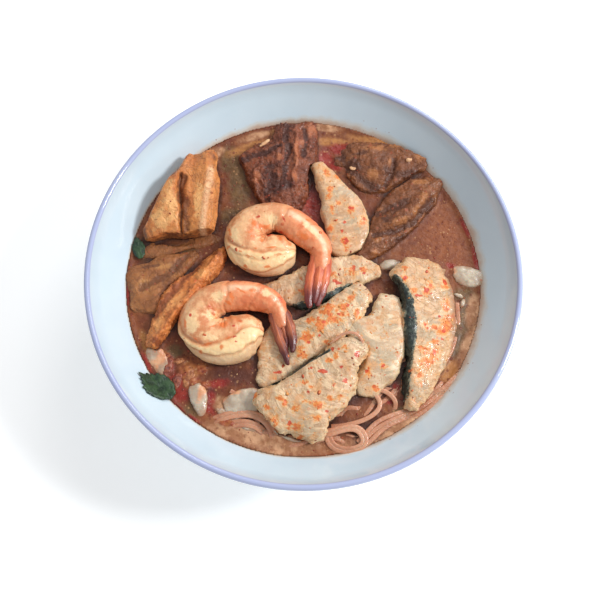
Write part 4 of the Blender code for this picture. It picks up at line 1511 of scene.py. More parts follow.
@dataclass
class PalePiece:
    """A pale piece that lies low in the broth."""

    node: str
    swell: float = 0.5
    lift: float = 0.0
    pulls: tuple[Pull, ...] = ()
    stains: tuple[Patch, ...] = ()

    def build(self) -> bpy.types.Object:
        """Carve the piece from its solid and round it off."""
        piece = copy_of_node(self.node, f"{self.node}_flesh")
        remesh(piece, 0.45, 6)
        points = points_of(piece)
        for pull in self.pulls:
            pull.apply(points)
        points[:, 2] += self.lift
        move_points(piece, points)
        relief(piece, "CLOUDS", 5.0, 2.0 * self.swell)
        relief(piece, "CLOUDS", 1.4, 0.6 * self.swell)
        keep_values(piece, "stain", merged(self.stains, points_of(piece)))
        hand_over(piece, PaleFlesh().material(), "pale_pieces", self.node)
        return piece


# ---- Noodles -----------------------------------------------------------------
Place = tuple[float, float, float]


@dataclass(frozen=True)
class Strand:
    """A noodle laid along listed places with their height above the soup, repeated side by side."""

    places: tuple[Place, ...]
    count: int = 1
    gap: float = 1.1             # between neighbours, in millimetres
    step: float = 0.12           # how much lower each neighbour lies

    def routes(self) -> list[list[Vector]]:
        """The strand's own way and the ways of the ones beside it."""
        marks = np.array(self.places)
        ahead = np.gradient(marks[:, :2], axis=0)
        ahead /= np.linalg.norm(ahead, axis=1)[:, None]
        side = np.column_stack([-ahead[:, 1], ahead[:, 0]])
        routes = []
        for index in range(self.count):
            shift = (index - (self.count - 1) / 2) * self.gap
            wander = 1.0 + 0.35 * np.sin(np.arange(len(marks)) * 1.3 + index * 2.1)
            moved = marks[:, :2] + side * (shift * wander)[:, None]
            routes.append([Vector((x, y, SOUP_LEVEL + 0.4 + z - self.step * index))
                           for (x, y), z in zip(moved, marks[:, 2])])
        return routes


@dataclass
class NoodleNest:
    """Rice noodles that lie along the front and right of the bowl, half under the broth."""

    strands: int = 30
    thickness: float = 0.6
    breadth: float = 0.55
    first_angle: float = -126.0
    last_angle: float = -6.0
    laid: tuple[Strand, ...] = (
        Strand(((9.5, -77.0, 0.0), (12, -76.6, 0.6), (15.5, -75.4, 1.0), (21.4, -74.3, 1.3), (25.6, -75.2, 1.4),
                (28, -78, 1.2), (28.8, -81, 0.9), (27, -83.6, 0.6), (22, -85, 0.3), (15.4, -84.4, 0.2),
                (11.9, -81.4, 0.2), (11.2, -78.4, 0.1)), count=2, gap=1.7),
        Strand(((13, -73.6, -0.3), (17, -73.6, 0.1), (22, -72.8, 0.5), (29, -70.7, 0.9), (34.6, -67.3, 1.3),
                (36.6, -63.3, 1.6), (34.8, -59.2, 1.6), (31.2, -56.4, 1.1), (27, -55.6, -0.8))),
        Strand(((32, -57.5, -0.6), (35.3, -55.8, 1.0), (39.5, -57.4, 1.5), (42.8, -60.4, 1.4),
                (44, -63.4, 0.8), (42.6, -66.5, -1.4))),
        Strand(((26, -82, -0.1), (29, -79.3, 0.5), (33, -75.3, 0.6), (39, -71.6, 0.3), (46.7, -68.6, 0.0),
                (53.5, -65.6, -1.2)), count=3, gap=1.9, step=0.05),
        Strand(((42, -70.4, -1.2), (50, -67.8, -0.1), (60.5, -62.2, 0.1), (66, -56.6, 0.1), (70, -51, -1.0)),
               count=3, gap=1.9, step=0.1),
        Strand(((77, -45, -1.0), (73, -51, 0.1), (67.6, -56.2, 0.2), (62.4, -58.6, 0.1), (56, -60.5, -1.2)),
               count=2, gap=1.6),
        Strand(((74, -26, -1.2), (72.5, -34, 0.2), (68, -42, 0.4), (63, -49, 0.3), (58, -54, -1.2)),
               count=2, gap=1.5),
        Strand(((-44.5, -71.6, -1.2), (-38.6, -68.8, 0.4), (-30.6, -67.3, 0.9), (-23, -68.0, 1.0),
                (-17.2, -71.4, 0.9), (-14.2, -76.0, 0.4), (-13.8, -80.4, -1.4)), count=2, gap=1.7),
        Strand(((-38, -73.5, -1.2), (-31, -71.6, 0.4), (-25, -71.8, 0.6), (-20.0, -74.5, 0.5),
                (-17.6, -78.5, -1.4)), count=2, gap=1.8),
    )
    over_fish: Strand = Strand(((13, -35.6, 7.6), (16.4, -32.6, 9.6), (20, -30.9, 11.2), (24, -31.2, 12.3),
                                (27.3, -33.4, 11.4), (28.6, -36.8, 9.0), (28.2, -40.5, 6.5)))

    def build(self) -> list[bpy.types.Object]:
        """Lay the strands, and put the core of the nest below them."""
        rng = random.Random(SEED)
        routes = [self.route(rng) for _ in range(self.strands)]
        for strand in self.laid:
            routes += strand.routes()
        nest = self.tubes("noodle_strands", routes, self.thickness, self.breadth)
        hand_over(nest, Noodle().material(), "noodles", "noodle_bed")
        thin = self.tubes("noodle_over_the_fish", self.over_fish.routes(), 0.4, 0.3)
        hand_over(thin, Noodle().material(), "noodles")
        return [self.core(), nest, thin]

    def route(self, rng: random.Random) -> list[Vector]:
        """Choose one strand's way: an arc of the nest that wanders just under the broth."""
        start = rng.uniform(self.first_angle, self.last_angle - 25.0)
        sweep = rng.uniform(20.0, 55.0)
        radius = rng.uniform(58.0, 82.0)
        drift = rng.uniform(-9.0, 9.0)
        phase, waves = rng.uniform(0, math.tau), rng.uniform(1.0, 2.6)
        depth = rng.uniform(-1.2, -0.45)
        points = []
        for i in range(15):
            share = i / 14
            angle = math.radians(min(start + sweep * share, 0.0))
            reach = min(radius + drift * share + 2.2 * math.sin(phase + waves * share * 5.0), 83.5)
            rise = depth + 0.7 * math.sin(phase * 2 + share * 7.0)
            points.append(Vector((reach * math.cos(angle), reach * math.sin(angle), SOUP_LEVEL + rise)))
        return points

    @staticmethod
    def tubes(name: str, routes: list[list[Vector]], radius: float, breadth: float) -> bpy.types.Object:
        """Draw routes as flattened strands and turn them into one mesh.

        Args:
            name: Name of the new piece.
            routes: The strands' points in millimetres.
            radius: Radius of a strand's edges in millimetres.
            breadth: Half the width of the flat part between the edges.

        Returns:
            The mesh object.
        """
        data = bpy.data.curves.new(name, "CURVE")
        data.dimensions = "3D"
        data.bevel_depth = radius * MM
        data.extrude = breadth * MM
        data.bevel_resolution = 2
        data.use_fill_caps = True
        data.resolution_u = 6
        for route in routes:
            spline = data.splines.new("NURBS")
            spline.points.add(len(route) - 1)
            spline.order_u = 4
            spline.use_endpoint_u = True
            for point, mark in zip(spline.points, route):
                point.co = (*(mark * MM), 1.0)
                point.radius = 1.0
                point.tilt = math.pi / 2
        strands = bpy.data.objects.new(name, data)
        bpy.context.scene.collection.objects.link(strands)
        take(strands)
        bpy.ops.object.convert(target="MESH")
        strands = bpy.context.object
        strands.name = name
        return strands

    def core(self) -> bpy.types.Object:
        """Shrink a copy of the nest's solid to fill it below the strands."""
        core = copy_of_node("noodle_bed", "noodle_core")
        remesh(core, 1.2, 4)
        modify(core, "DISPLACE", strength=-1.7 * MM, mid_level=0.0)
        relief(core, "CLOUDS", 4.0, 1.0)
        hand_over(core, Noodle().material(), "noodles")
        return core


# ---- Small things ------------------------------------------------------------
@dataclass
class Coriander:
    """A coriander leaf that clings to the bowl's wall. Sizes in millimetres, turns in degrees."""

    name: str
    x: float
    y: float
    turn: float
    length: float
    width: float

    def build(self, bowl: bpy.types.Object) -> bpy.types.Object:
        """Cut the toothed blade from a disc, lay it on the wall and give it body.

        Args:
            bowl: The finished bowl, whose wall the leaf follows.

        Returns:
            The leaf.
        """
        deselect()
        bpy.ops.mesh.primitive_circle_add(vertices=120, radius=1.0, fill_type="TRIFAN",
                                          location=(0, 0, 0))
        leaf = named(self.name)
        take(leaf, edit=True)
        bpy.ops.mesh.subdivide(number_cuts=5)
        bpy.ops.object.mode_set(mode="OBJECT")
        points = points_of(leaf) * MM
        angle = np.arctan2(points[:, 1], points[:, 0])
        radius = np.hypot(points[:, 0], points[:, 1])
        front = np.clip(0.35 + np.cos(angle), 0.0, 1.0)
        lobe = 1.0 - 0.22 * front * np.abs(np.sin(angle * 2.0)) ** 0.8
        teeth = 1.0 + 0.08 * front * np.cos(angle * 17.0) + 0.02 * np.cos(angle * 11.0)
        reach = radius * (1.0 + (lobe * teeth - 1.0) * radius)
        turn = math.radians(self.turn)
        ahead, across = reach * np.cos(angle) * self.length, reach * np.sin(angle) * self.width
        points = np.column_stack([self.x + ahead * math.cos(turn) - across * math.sin(turn),
                                  self.y + ahead * math.sin(turn) + across * math.cos(turn),
                                  np.full(len(points), RIM_HEIGHT + 2.0)])
        move_points(leaf, points)
        modify(leaf, "SHRINKWRAP", target=bowl, wrap_method="PROJECT", use_project_z=True,
               use_negative_direction=True, use_positive_direction=False)
        points = points_of(leaf)
        points[:, 2] = np.maximum(points[:, 2], SOUP_LEVEL)
        veins = np.abs(np.sin(angle * 2.5)) * radius
        cup = 0.7 * (1.0 - (across / self.width) ** 2)
        points[:, 2] += 0.5 + cup + 0.35 * veins + 0.3 * radius * np.cos(angle * 5.0)
        move_points(leaf, points)
        modify(leaf, "SOLIDIFY", thickness=0.35 * MM, offset=1.0)
        finish = Tint(name="coriander", dark=(24, 46, 30), light=(54, 80, 48), grain=240.0,
                      roughness=0.45, bump=0.3)
        hand_over(leaf, finish.material(), "pale_pieces")
        return leaf


@dataclass
class Scrap:
    """A small torn bit of food: where it lies, its turn in degrees and its half sizes."""

    name: str
    place: tuple[float, float, float]
    turn: float
    sizes: tuple[float, float, float]
    finish: Finish
    slot: str

    def build(self) -> bpy.types.Object:
        """Stretch, turn and roughen a ball."""
        deselect()
        x, y, height = self.place
        bpy.ops.mesh.primitive_ico_sphere_add(
            subdivisions=4, radius=1.0, location=(x * MM, y * MM, (SOUP_LEVEL + height) * MM),
            rotation=(0.0, 0.0, math.radians(self.turn)), scale=tuple(size * MM for size in self.sizes))
        scrap = named(self.name)
        settle(scrap)
        relief(scrap, "CLOUDS", 2.2, 1.1)
        relief(scrap, "CLOUDS", 0.8, 0.35)
        hand_over(scrap, self.finish.material(), self.slot)
        return scrap


@dataclass
class Sprinkle:
    """Small flecks scattered on the upper faces of pieces, joined into one mesh."""

    name: str
    finish: Finish
    slot: str
    count: int
    smallest: float
    largest: float
    flat: float = 0.3
    steep: float = 0.45          # flecks lie only on faces that point up more than this
    rare: float = 2.2            # how rare the large ones are
    seed: int = SEED

    def build(self, hosts: list[bpy.types.Object],
              weight: Callable[[np.ndarray], np.ndarray] | None = None) -> bpy.types.Object:
        """Scatter the flecks.

        Args:
            hosts: The pieces that carry them.
            weight: How likely a fleck is at each of some points, from 0 to 1.

        Returns:
            The joined flecks.
        """
        rng = np.random.default_rng(self.seed)
        places, normals = self.choose(hosts, rng, weight)
        deselect()
        bpy.ops.mesh.primitive_ico_sphere_add(subdivisions=1, radius=1.0, location=(0, 0, 0))
        flecks = named(self.name)
        ball = points_of(flecks) * MM
        faces = np.array([face.vertices[:] for face in flecks.data.polygons])
        points, triangles = [], []
        for index, (place, normal) in enumerate(zip(places, normals)):
            side = np.cross(normal, [0.3, 0.9, 0.2])
            side /= np.linalg.norm(side)
            other = np.cross(normal, side)
            turn = rng.uniform(0, math.tau)
            first = side * math.cos(turn) + other * math.sin(turn)
            second = other * math.cos(turn) - side * math.sin(turn)
            long = self.smallest + (self.largest - self.smallest) * rng.random() ** self.rare
            wide = long * rng.uniform(0.4, 1.0)
            shape = ball * (1.0 + 0.4 * rng.standard_normal((len(ball), 1)).clip(-1.2, 1.2))
            points.append(place + normal * self.flat * 0.2 + np.outer(shape[:, 0] * long, first)
                          + np.outer(shape[:, 1] * wide, second)
                          + np.outer(shape[:, 2] * self.flat * (0.5 + long / 3), normal))
            triangles.append(faces + index * len(ball))
        mesh = bpy.data.meshes.new(self.name)
        mesh.from_pydata((np.vstack(points) * MM).tolist(), [], np.vstack(triangles).tolist())
        flecks.data = mesh
        hand_over(flecks, self.finish.material(), self.slot)
        return flecks

    def choose(self, hosts: list[bpy.types.Object], rng: np.random.Generator,
               weight: Callable[[np.ndarray], np.ndarray] | None) -> tuple[np.ndarray, np.ndarray]:
        """Pick places on the hosts' upper faces above the soup, by area."""
        centres, normals, areas = [], [], []
        for host in hosts:
            count = len(host.data.polygons)
            centre, normal, area = np.zeros(count * 3), np.zeros(count * 3), np.zeros(count)
            host.data.polygons.foreach_get("center", centre)
            host.data.polygons.foreach_get("normal", normal)
            host.data.polygons.foreach_get("area", area)
            centres.append(centre.reshape(-1, 3) / MM)
            normals.append(normal.reshape(-1, 3))
            areas.append(area)
        centre, normal, area = np.vstack(centres), np.vstack(normals), np.concatenate(areas)
        chance = area * (normal[:, 2] > self.steep) * (centre[:, 2] > SOUP_LEVEL - 0.6)
        if weight:
            chance = chance * weight(centre)
        picked = rng.choice(len(centre), self.count, p=chance / chance.sum())
        return centre[picked], normal[picked]


def clusters(points: np.ndarray) -> np.ndarray:
    """How likely a fleck is at each point, so that flecks gather in loose groups."""
    x, y = points[:, 0], points[:, 1]
    waves = np.sin(x * 0.42 + 1.7 * np.sin(y * 0.19)) * np.sin(y * 0.37 + 1.3 * np.sin(x * 0.23) + 1.0)
    return 0.12 + np.clip(waves, 0.0, 1.0) ** 1.5


# ---- Studio ------------------------------------------------------------------
@dataclass
class Studio:
    """The floor, the lights and the camera."""

    elevation: float = 71.35     # of the camera, in degrees
    distance: float = 397.0      # from the camera to the point that it looks at, in millimetres
    aim: Point = (-3.6, -14.7)   # that point, in the plane of the rim
    lens: float = 51.14

    def build(self) -> None:
        """Set up everything that isn't the object."""
        self.floor()
        self.camera()
        self.lamp("key", (790.0, 20.0, 740.0), 200.0, 8.2, (0.96, 0.985, 1.0))
        self.lamp("window", (350.0, 620.0, 744.0), 500.0, 3.4, (0.97, 0.985, 1.0))
        self.world()
        bpy.context.scene.view_settings.view_transform = "Standard"
        bpy.context.scene.view_settings.look = "None"

    def floor(self) -> None:
        """Lay a plain pale floor."""
        deselect()
        bpy.ops.mesh.primitive_plane_add(size=4.0, location=(0, 0, 0))
        floor = named("floor")
        finish = Tint(name="table", dark=(250, 250, 250), light=(252, 252, 252), grain=3.0, roughness=0.7,
                      bump=0.02, glow=0.3)
        floor.data.materials.append(finish.material())

    def camera(self) -> None:
        """Put the camera above the front of the bowl."""
        tilt = math.radians(self.elevation)
        data = bpy.data.cameras.new("camera")
        data.lens = self.lens
        data.sensor_width = 36.0
        camera = bpy.data.objects.new("camera", data)
        bpy.context.scene.collection.objects.link(camera)
        camera.location = Vector((self.aim[0], self.aim[1] - self.distance * math.cos(tilt),
                                  RIM_HEIGHT + self.distance * math.sin(tilt))) * MM
        camera.rotation_euler = (math.pi / 2 - tilt, 0.0, 0.0)
        bpy.context.scene.camera = camera

    def lamp(self, name: str, place: tuple[float, float, float], size: float, power: float,
             colour: tuple[float, float, float]) -> None:
        """Hang a square soft lamp that points at the bowl.

        Args:
            name: Its name.
            place: Where it hangs, in millimetres.
            size: Its side, in millimetres.
            power: Its power in watts.
            colour: Its colour.
        """
        data = bpy.data.lights.new(name, "AREA")
        data.size = size * MM
        data.energy = power
        data.color = colour
        lamp = bpy.data.objects.new(name, data)
        bpy.context.scene.collection.objects.link(lamp)
        lamp.location = Vector(place) * MM
        aim = Vector((0.0, 0.0, SOUP_LEVEL)) * MM - lamp.location
        lamp.rotation_euler = aim.to_track_quat("-Z", "Y").to_euler()

    @staticmethod
    def world() -> None:
        """Fill the room with pale daylight."""
        world = bpy.data.worlds.new("room")
        bpy.context.scene.world = world
        world.use_nodes = True
        background = world.node_tree.nodes["Background"]
        background.inputs["Color"].default_value = (0.97, 0.985, 1.0, 1.0)
        background.inputs["Strength"].default_value = 0.53


# ---- The meal ----------------------------------------------------------------
@dataclass
class Meal:
    """Everything that the bowl holds, in the order in which it is made."""

    bowl: Bowl = field(default_factory=Bowl)
    prawns: tuple[Prawn, ...] = (
        Prawn("prawn_upper", PrawnFlesh(), Course((
            (-3.6, 13.0, 3.2, 2.6, 2.6), (-4.6, 12.9, 3.3, 5.4, 4.6), (-7.2, 12.3, 3.4, 8.2, 6.5),
            (-11.0, 11.8, 3.5, 10.6, 7.6), (-15.5, 10.8, 3.6, 11.2, 7.9), (-20.2, 10.6, 3.6, 11.0, 7.9),
            (-25.0, 13.0, 3.6, 11.0, 7.8), (-28.2, 17.6, 3.6, 10.9, 7.7), (-28.4, 23.0, 3.7, 10.4, 7.5),
            (-25.6, 27.6, 3.9, 9.4, 7.2), (-20.6, 30.4, 4.2, 8.4, 6.9), (-14.0, 31.6, 4.6, 7.5, 6.6),
            (-6.0, 28.2, 5.2, 7.6, 6.3), (0.4, 23.2, 5.7, 7.6, 5.9), (5.4, 18.4, 6.2, 6.9, 5.2),
            (8.4, 13.6, 6.5, 6.0, 4.6), (9.1, 9.6, 6.9, 5.0, 3.7), (8.8, 5.4, 7.3, 4.5, 2.8), (8.1, 1.0, 7.5, 3.4, 2.0))), (
            Course(((7.0, 13.5, 6.4, 2.4, 2.2), (5.6, 6.0, 7.0, 2.9, 1.9), (3.9, -2.0, 7.4, 3.0, 1.5),
                    (3.0, -9.0, 7.3, 2.8, 1.2), (2.7, -14.5, 7.0, 2.0, 1.0), (2.9, -17.6, 6.8, 0.9, 0.6))),
            Course(((10.8, 13.0, 6.4, 2.4, 2.2), (11.2, 6.0, 7.1, 2.9, 1.9), (10.6, 0.0, 7.6, 3.0, 1.5),
                    (9.2, -7.0, 7.5, 2.8, 1.2), (7.6, -12.5, 7.2, 2.1, 1.0), (6.4, -16.6, 7.0, 0.9, 0.6))),
            Course(((8.9, 11.5, 7.0, 2.2, 2.0), (8.3, 4.0, 8.1, 2.5, 1.6), (7.1, -4.0, 8.5, 2.4, 1.3),
                    (5.9, -11.0, 8.1, 1.8, 0.9), (5.2, -15.4, 7.7, 0.8, 0.5))),
        ), seam=((0, 0.05), (0.091, 0), (0.163, -0.03), (0.236, 0.2), (0.281, 0.5), (0.313, 0.84), (0.345, 1)),
            flap=((0, 0.6), (0.082, 0.7), (0.154, 0.84), (0.19, 0.92), (0.245, 1), (0.363, 1)),
            creases=((0.435, 0.15), (0.599, 0.55), (0.744, 0.3), (0.875, 0.35)), stains={
                "orange": (Patch(2.4, 27.4, 2.2, 1.4, -40), Patch(-0.1, 18.9, 4.2, 2.6, -35),
                           Patch(-20.5, 16.6, 1.6, 1.4), Patch(-25.0, 18.6, 1.8, 1.2), Patch(-26.5, 21.0, 2.6, 1.2, 30),
                           Patch(-31.3, 10.9, 2.0, 0.7, -30), Patch(-23.9, 12.1, 1.8, 0.6, -10),
                           Patch(-12.5, 8.8, 3.0, 0.7, 4), Patch(-28.7, 3.9, 1.8, 0.9, -25),
                           Patch(-17.8, 2.9, 2.8, 0.8, 2), Patch(-37.0, 14.0, 1.6, 1.1),
                           Patch(-36.6, 22.0, 1.2, 4.0, 14), Patch(-16.0, 12.6, 4.6, 0.6, 4),
                           Patch(-26.0, 8.0, 4.0, 0.5, -16), Patch(-11.4, 17.4, 2.4, 1.6, 20),
                           Patch(-20.0, 24.4, 4.4, 1.8, 8), Patch(-24.4, 25.6, 2.2, 3.0, 30)),
                "red": (Patch(-22.6, 29.0, 1.5, 1.3, 10), Patch(-9.4, 27.4, 2.6, 0.7, -62),
                        Patch(-17.2, 20.4, 2.8, 1.7, 10), Patch(-11.2, 22.6, 2.6, 0.8, -20),
                        Patch(10.9, 21.4, 2.0, 0.8, -50)),
                # Pale patches: paler flesh, and a painted highlight on the tail's ridge.
                "pale": (Patch(-15.6, 27.4, 3.8, 3.4), Patch(-34, 20, 3, 6, 10), Patch(3.6, 21.9, 8.5, 1.7, -48), Patch(-33.0, 12.4, 6.0, 1.6, -20),
                         Patch(-10.0, 12.2, 7.5, 2.2, 5)),
            }),
        Prawn("prawn_lower", PrawnFlesh(name="cooked_prawn_dark_tail", shell=(
            (120, 54, 40), (200, 112, 72), (84, 28, 32))), Course((
                (-19.6, -30.6, 3.2, 2.8, 2.8), (-20.6, -30.5, 3.4, 6.2, 5.0), (-23.0, -30.3, 3.5, 9.4, 7.0),
                (-27.4, -30.8, 3.6, 11.4, 8.1), (-32.6, -32.4, 3.6, 12.2, 8.5), (-38.0, -33.6, 3.6, 12.0, 8.4),
                (-43.2, -32.6, 3.5, 11.7, 8.3), (-47.6, -29.4, 3.5, 11.2, 8.2), (-50.2, -24.4, 3.6, 10.5, 7.9),
                (-49.6, -18.9, 3.8, 9.7, 7.6), (-46.0, -14.4, 4.1, 8.8, 7.3), (-40.4, -11.6, 4.6, 8.0, 7.0),
                (-33.6, -10.7, 5.2, 7.6, 6.7), (-26.6, -10.8, 5.8, 7.2, 6.4), (-19.4, -12.4, 6.3, 6.7, 5.8),
                (-13.9, -16.0, 6.7, 5.6, 4.6), (-11.6, -19.4, 6.9, 4.4, 3.4), (-10.9, -23.4, 7.2, 3.9, 2.5),
                (-9.8, -27.6, 7.3, 2.6, 1.7))), (
            Course(((-12.0, -15.6, 6.5, 2.5, 2.2), (-8.4, -21.5, 7.2, 2.6, 1.9), (-6.0, -29.0, 7.6, 2.6, 1.5),
                    (-5.0, -35.2, 7.3, 2.0, 1.2), (-5.6, -39.8, 7.0, 0.9, 0.6))),
            Course(((-15.2, -19.0, 6.4, 2.3, 2.0), (-13.6, -25.5, 6.9, 2.5, 1.6), (-11.4, -33.0, 7.0, 2.4, 1.3),
                    (-8.7, -40.5, 6.8, 1.9, 1.1), (-7.2, -45.8, 6.5, 0.8, 0.6))),
            Course(((-12.8, -18.4, 6.7, 1.9, 1.7), (-10.3, -25.5, 6.9, 1.8, 1.2), (-8.6, -32.5, 6.8, 1.5, 0.9),
                    (-7.9, -38.0, 6.6, 0.7, 0.5))),
        ), seam=((0, -0.35), (0.064, -0.3), (0.136, -0.1), (0.227, 0.2), (0.291, 0.6), (0.364, 0.88), (0.409, 1)),
            flap=((0, 0.2), (0.045, 0.5), (0.136, 0.66), (0.209, 0.72), (0.273, 0.8), (0.328, 0.95), (0.364, 1)),
            creases=((0.473, 0.15), (0.605, 0.5), (0.755, 0.3), (0.873, 0.35)), stains={
                "orange": (Patch(-34.7, -12.8, 3.6, 2.0, -70), Patch(-24.5, -9.9, 2.8, 1.7), Patch(-30.0, -10.2, 3.2, 0.8, -30),
                           Patch(-38.6, -26.9, 3.2, 2.6, 20), Patch(-46.3, -36.7, 6.0, 0.9, 15),
                           Patch(-38.8, -38.2, 1.2, 2.0), Patch(-48.7, -39.6, 1.3, 1.5), Patch(-36.2, -15.6, 2.4, 1.0, -30),
                           Patch(-51.0, -34.0, 3.6, 0.7, -38), Patch(-35.0, -33.4, 5.0, 0.7, 14),
                           Patch(-56.6, -26.0, 0.9, 4.0, 6), Patch(-43.0, -27.6, 3.0, 0.8, 24),
                           Patch(-30.6, -25.0, 2.4, 0.8, -20)),
                "red": (Patch(-10.6, -14.8, 3.2, 1.5, -60), Patch(-45.2, -17.9, 2.2, 0.8, 15), Patch(-54.0, -22.4, 1.0, 1.6, 20),
                        Patch(-33.3, -27.6, 1.1, 0.9), Patch(-32.5, -33.0, 1.7, 1.0), Patch(-31.7, -35.6, 1.0, 0.8),
                        Patch(-36.5, -19.6, 3.6, 1.1, 20)),
                # Pale patches: paler flesh, and a painted highlight on the bright knob at the body's head end.
                "pale": (Patch(-41.4, -12.8, 4.2, 3.4), Patch(-53, -26, 4, 8, 10), Patch(-45, -22, 4, 3), Patch(-44, -33, 6, 2.4, -10), Patch(-25.0, -29.0, 5.0, 9.0, -10), Patch(-34.0, -40.0, 9.0, 2.4, 5),
                         Patch(-17.6, -11.2, 3.6, 2.6, -20)),
            }, seed=2.0, folds=()),
    )
    fish: tuple[FishSlice, ...] = (
        FishSlice("fish_front", -139, (
            Patch(0.5, -55, 3, 1.6), Patch(3.2, -57, 1.6, 1.4), Patch(12, -62, 2.2, 1.6), Patch(-11, -62, 2.4, 2.0),
            Patch(-8.8, -64.5, 2.2, 1.8), Patch(-23.4, -60.0, 2.4, 3.2), Patch(7, -65.2, 5.5, 2.6, -18),
            Patch(-4.5, -67.4, 2.2, 3.0, 20), Patch(-4, -75, 4.2, 2.8, -10), Patch(-13.5, -72.5, 2.0, 3.6),
            Patch(6.5, -71.0, 2.4, 2.0), Patch(0.3, -63.5, 2.0, 2.0), Patch(19, -38, 3.0, 2.6), Patch(15, -42, 2, 3),
            Patch(-17, -66, 2, 2), Patch(12, -44, 2.4, 2), Patch(-1.5, -79.4, 1.8, 1.4), Patch(17, -61, 2, 1.6)), (
            Patch(25, -41.2, 1.7, 2.3, 10), Patch(28, -45.4, 1.1, 1.6, -20), Patch(9, -49.8, 2.3, 1.4, -8),
            Patch(3.5, -48.2, 1.1, 0.8, -30), Patch(17.8, -47.6, 1.0, 0.8), Patch(19.3, -54.0, 1.5, 1.7, 20),
            Patch(13.6, -39, 0.9, 1.2, 30), Patch(10.6, -68, 1.8, 0.8, -10), Patch(-6.5, -73.2, 1.0, 1.2),
            Patch(-24.0, -59, 1.0, 1.2), Patch(2.0, -59.2, 0.9, 0.7), Patch(-1.6, -80, 0.8, 0.7)),
            rough=1.0, pulls=(
                Pull(-22.0, -58.0, -3.4, 2.0, 9.0), Pull(28.0, -47.0, -2.6, 0.0, 9.0), Pull(17.0, -73.0, -4.0, 0.0, 9.0),
                Pull(-4.0, -78.0, 0.0, 2.0, 10.0), Pull(-2.0, -45.0, -0.5, 0.9, 14.0), Pull(14.0, -35.0, -0.5, 1.0, 12.0)),
            skin=((-19, -55.5), (-14, -53.6), (-10, -52.0), (-5, -49.6), (0, -46.4), (4, -43.8),
                             (8, -41.6), (12, -39.4)), skin_width=0.75),
        FishSlice("fish_right", -96, (
            Patch(49.8, 2.8, 2.2, 2.2), Patch(49.6, -3.0, 2.0, 3.0), Patch(53.8, -8.8, 2.4, 2.0), Patch(60, -8.2, 3, 2.8),
            Patch(62.4, -5, 2.4, 2.8), Patch(69.6, -4.0, 2.8, 4.0), Patch(70, -14.6, 4, 3.6, -40), Patch(73, -20, 2, 3),
            Patch(58.6, -26, 2.2, 2.6), Patch(62.4, -26.4, 2.8, 2.0), Patch(56, -37, 2.4, 2.0), Patch(63, -33.6, 2.4, 2.0),
            Patch(53, -23.6, 1.8, 3.0), Patch(41.6, 5.0, 3.6, 2.6), Patch(67, -28, 3, 4), Patch(55, -50, 2, 4), Patch(60, -42, 6, 8, -30), Patch(70, -24, 4, 9, -20)), (
            Patch(55.7, -11.2, 2.7, 1.1, -4), Patch(60.0, -7.6, 1.8, 1.5), Patch(62.6, -9.4, 1.0, 0.8), Patch(69.9, -3.0, 1.4, 1.8),
            Patch(49.4, -2.6, 0.9, 1.4), Patch(66, -20.6, 1.1, 0.8), Patch(67.8, -28, 1.1, 1.1), Patch(66.8, -32, 1.1, 1.0),
            Patch(62.4, -38.4, 0.8, 1.8, 10), Patch(58.8, -25.8, 0.9, 0.9)),
            rough=1.0, skin=((44.6, -3.5), (47.6, -8.0), (50.2, -14), (51.2, -20), (51.6, -26), (51.0, -32), (49.4, -38),
                             (48.6, -44), (47.6, -50), (46.8, -56), (46.0, -60)), skin_width=2.8,
            pulls=(Pull(44.5, 3.5, -4.5, -0.5, 8.0), Pull(46.0, -50.0, -1.6, -3.0, 11.0), Pull(47.0, -28.0, -2.4, 0.0, 16.0)),
            finish=FishFlesh(name="oily_fish", flesh=((182, 140, 104), (206, 160, 118), (226, 186, 144)))),
        FishSlice("fish_behind", 43, (
            Patch(-1, -39, 3.2, 4.4, 20), Patch(1.8, -31, 4, 4), Patch(12, -18, 6, 4, 30), Patch(18, -20, 5, 4), Patch(8, -24, 5, 4), Patch(14, -22, 5, 4, 40), Patch(8, -27, 4, 3),
            Patch(20, -17, 4, 3, 40), Patch(23, -12, 3, 3), Patch(11, -34, 3, 2), Patch(26, -20, 2.4, 3), Patch(4, -23, 3, 2)), (
            Patch(-12.4, -48.6, 2.8, 0.9, -2), Patch(17, -20, 1.6, 1.0, 30), Patch(10, -24, 1.0, 0.8), Patch(22, -15.6, 1.2, 0.9),
            Patch(2.6, -34, 1.0, 0.8), Patch(7.6, -31, 0.8, 1.0)),
            rough=0.9, skin=((-18, -56.5), (-10, -53), (0, -47.6), (8, -43), (16, -37)), skin_width=1.1,
            pulls=(Pull(-10.0, -30.0, -6.0, 5.0, 15.0), Pull(-20.0, -38.0, -2.0, 3.0, 10.0))),
        FishSlice("fish_pale", -103, (Patch(38, -46, 2.4, 2.0), Patch(31, -48, 2.0, 3.0), Patch(34, -56, 3, 2)), (
            Patch(29.8, -48.0, 1.2, 1.2), Patch(37.6, -46, 1.2, 0.9), Patch(38.4, -50, 0.9, 0.8)),
            rough=0.5, pulls=(Pull(29.0, -27.0, -5.0, 0.0, 9.0), Pull(28.5, -26.0, -4.5, 2.0, 10.0),
                              Pull(38.0, -56.0, 0.0, 2.5, 9.0), Pull(26.0, -31.0, -3.5, 1.0, 8.0)),
            finish=FishFlesh(name="pale_fish", bump=0.16, flesh=((196, 164, 134), (216, 186, 154), (236, 210, 174)))),
        FishSlice("fish_upper", -71, (
            Patch(12, 55.4, 2.6, 2.8), Patch(18, 53.6, 3.0, 2.0), Patch(24, 35.6, 2.8, 2.8), Patch(30, 29.4, 3.0, 3.0),
            Patch(21, 17.4, 2.6, 3.4), Patch(14.4, 35.4, 2.0, 2.8), Patch(13.8, 25.8, 2.0, 2.4), Patch(18, 38, 1.8, 1.8),
            Patch(13.6, 45, 2.0, 5.0)), (
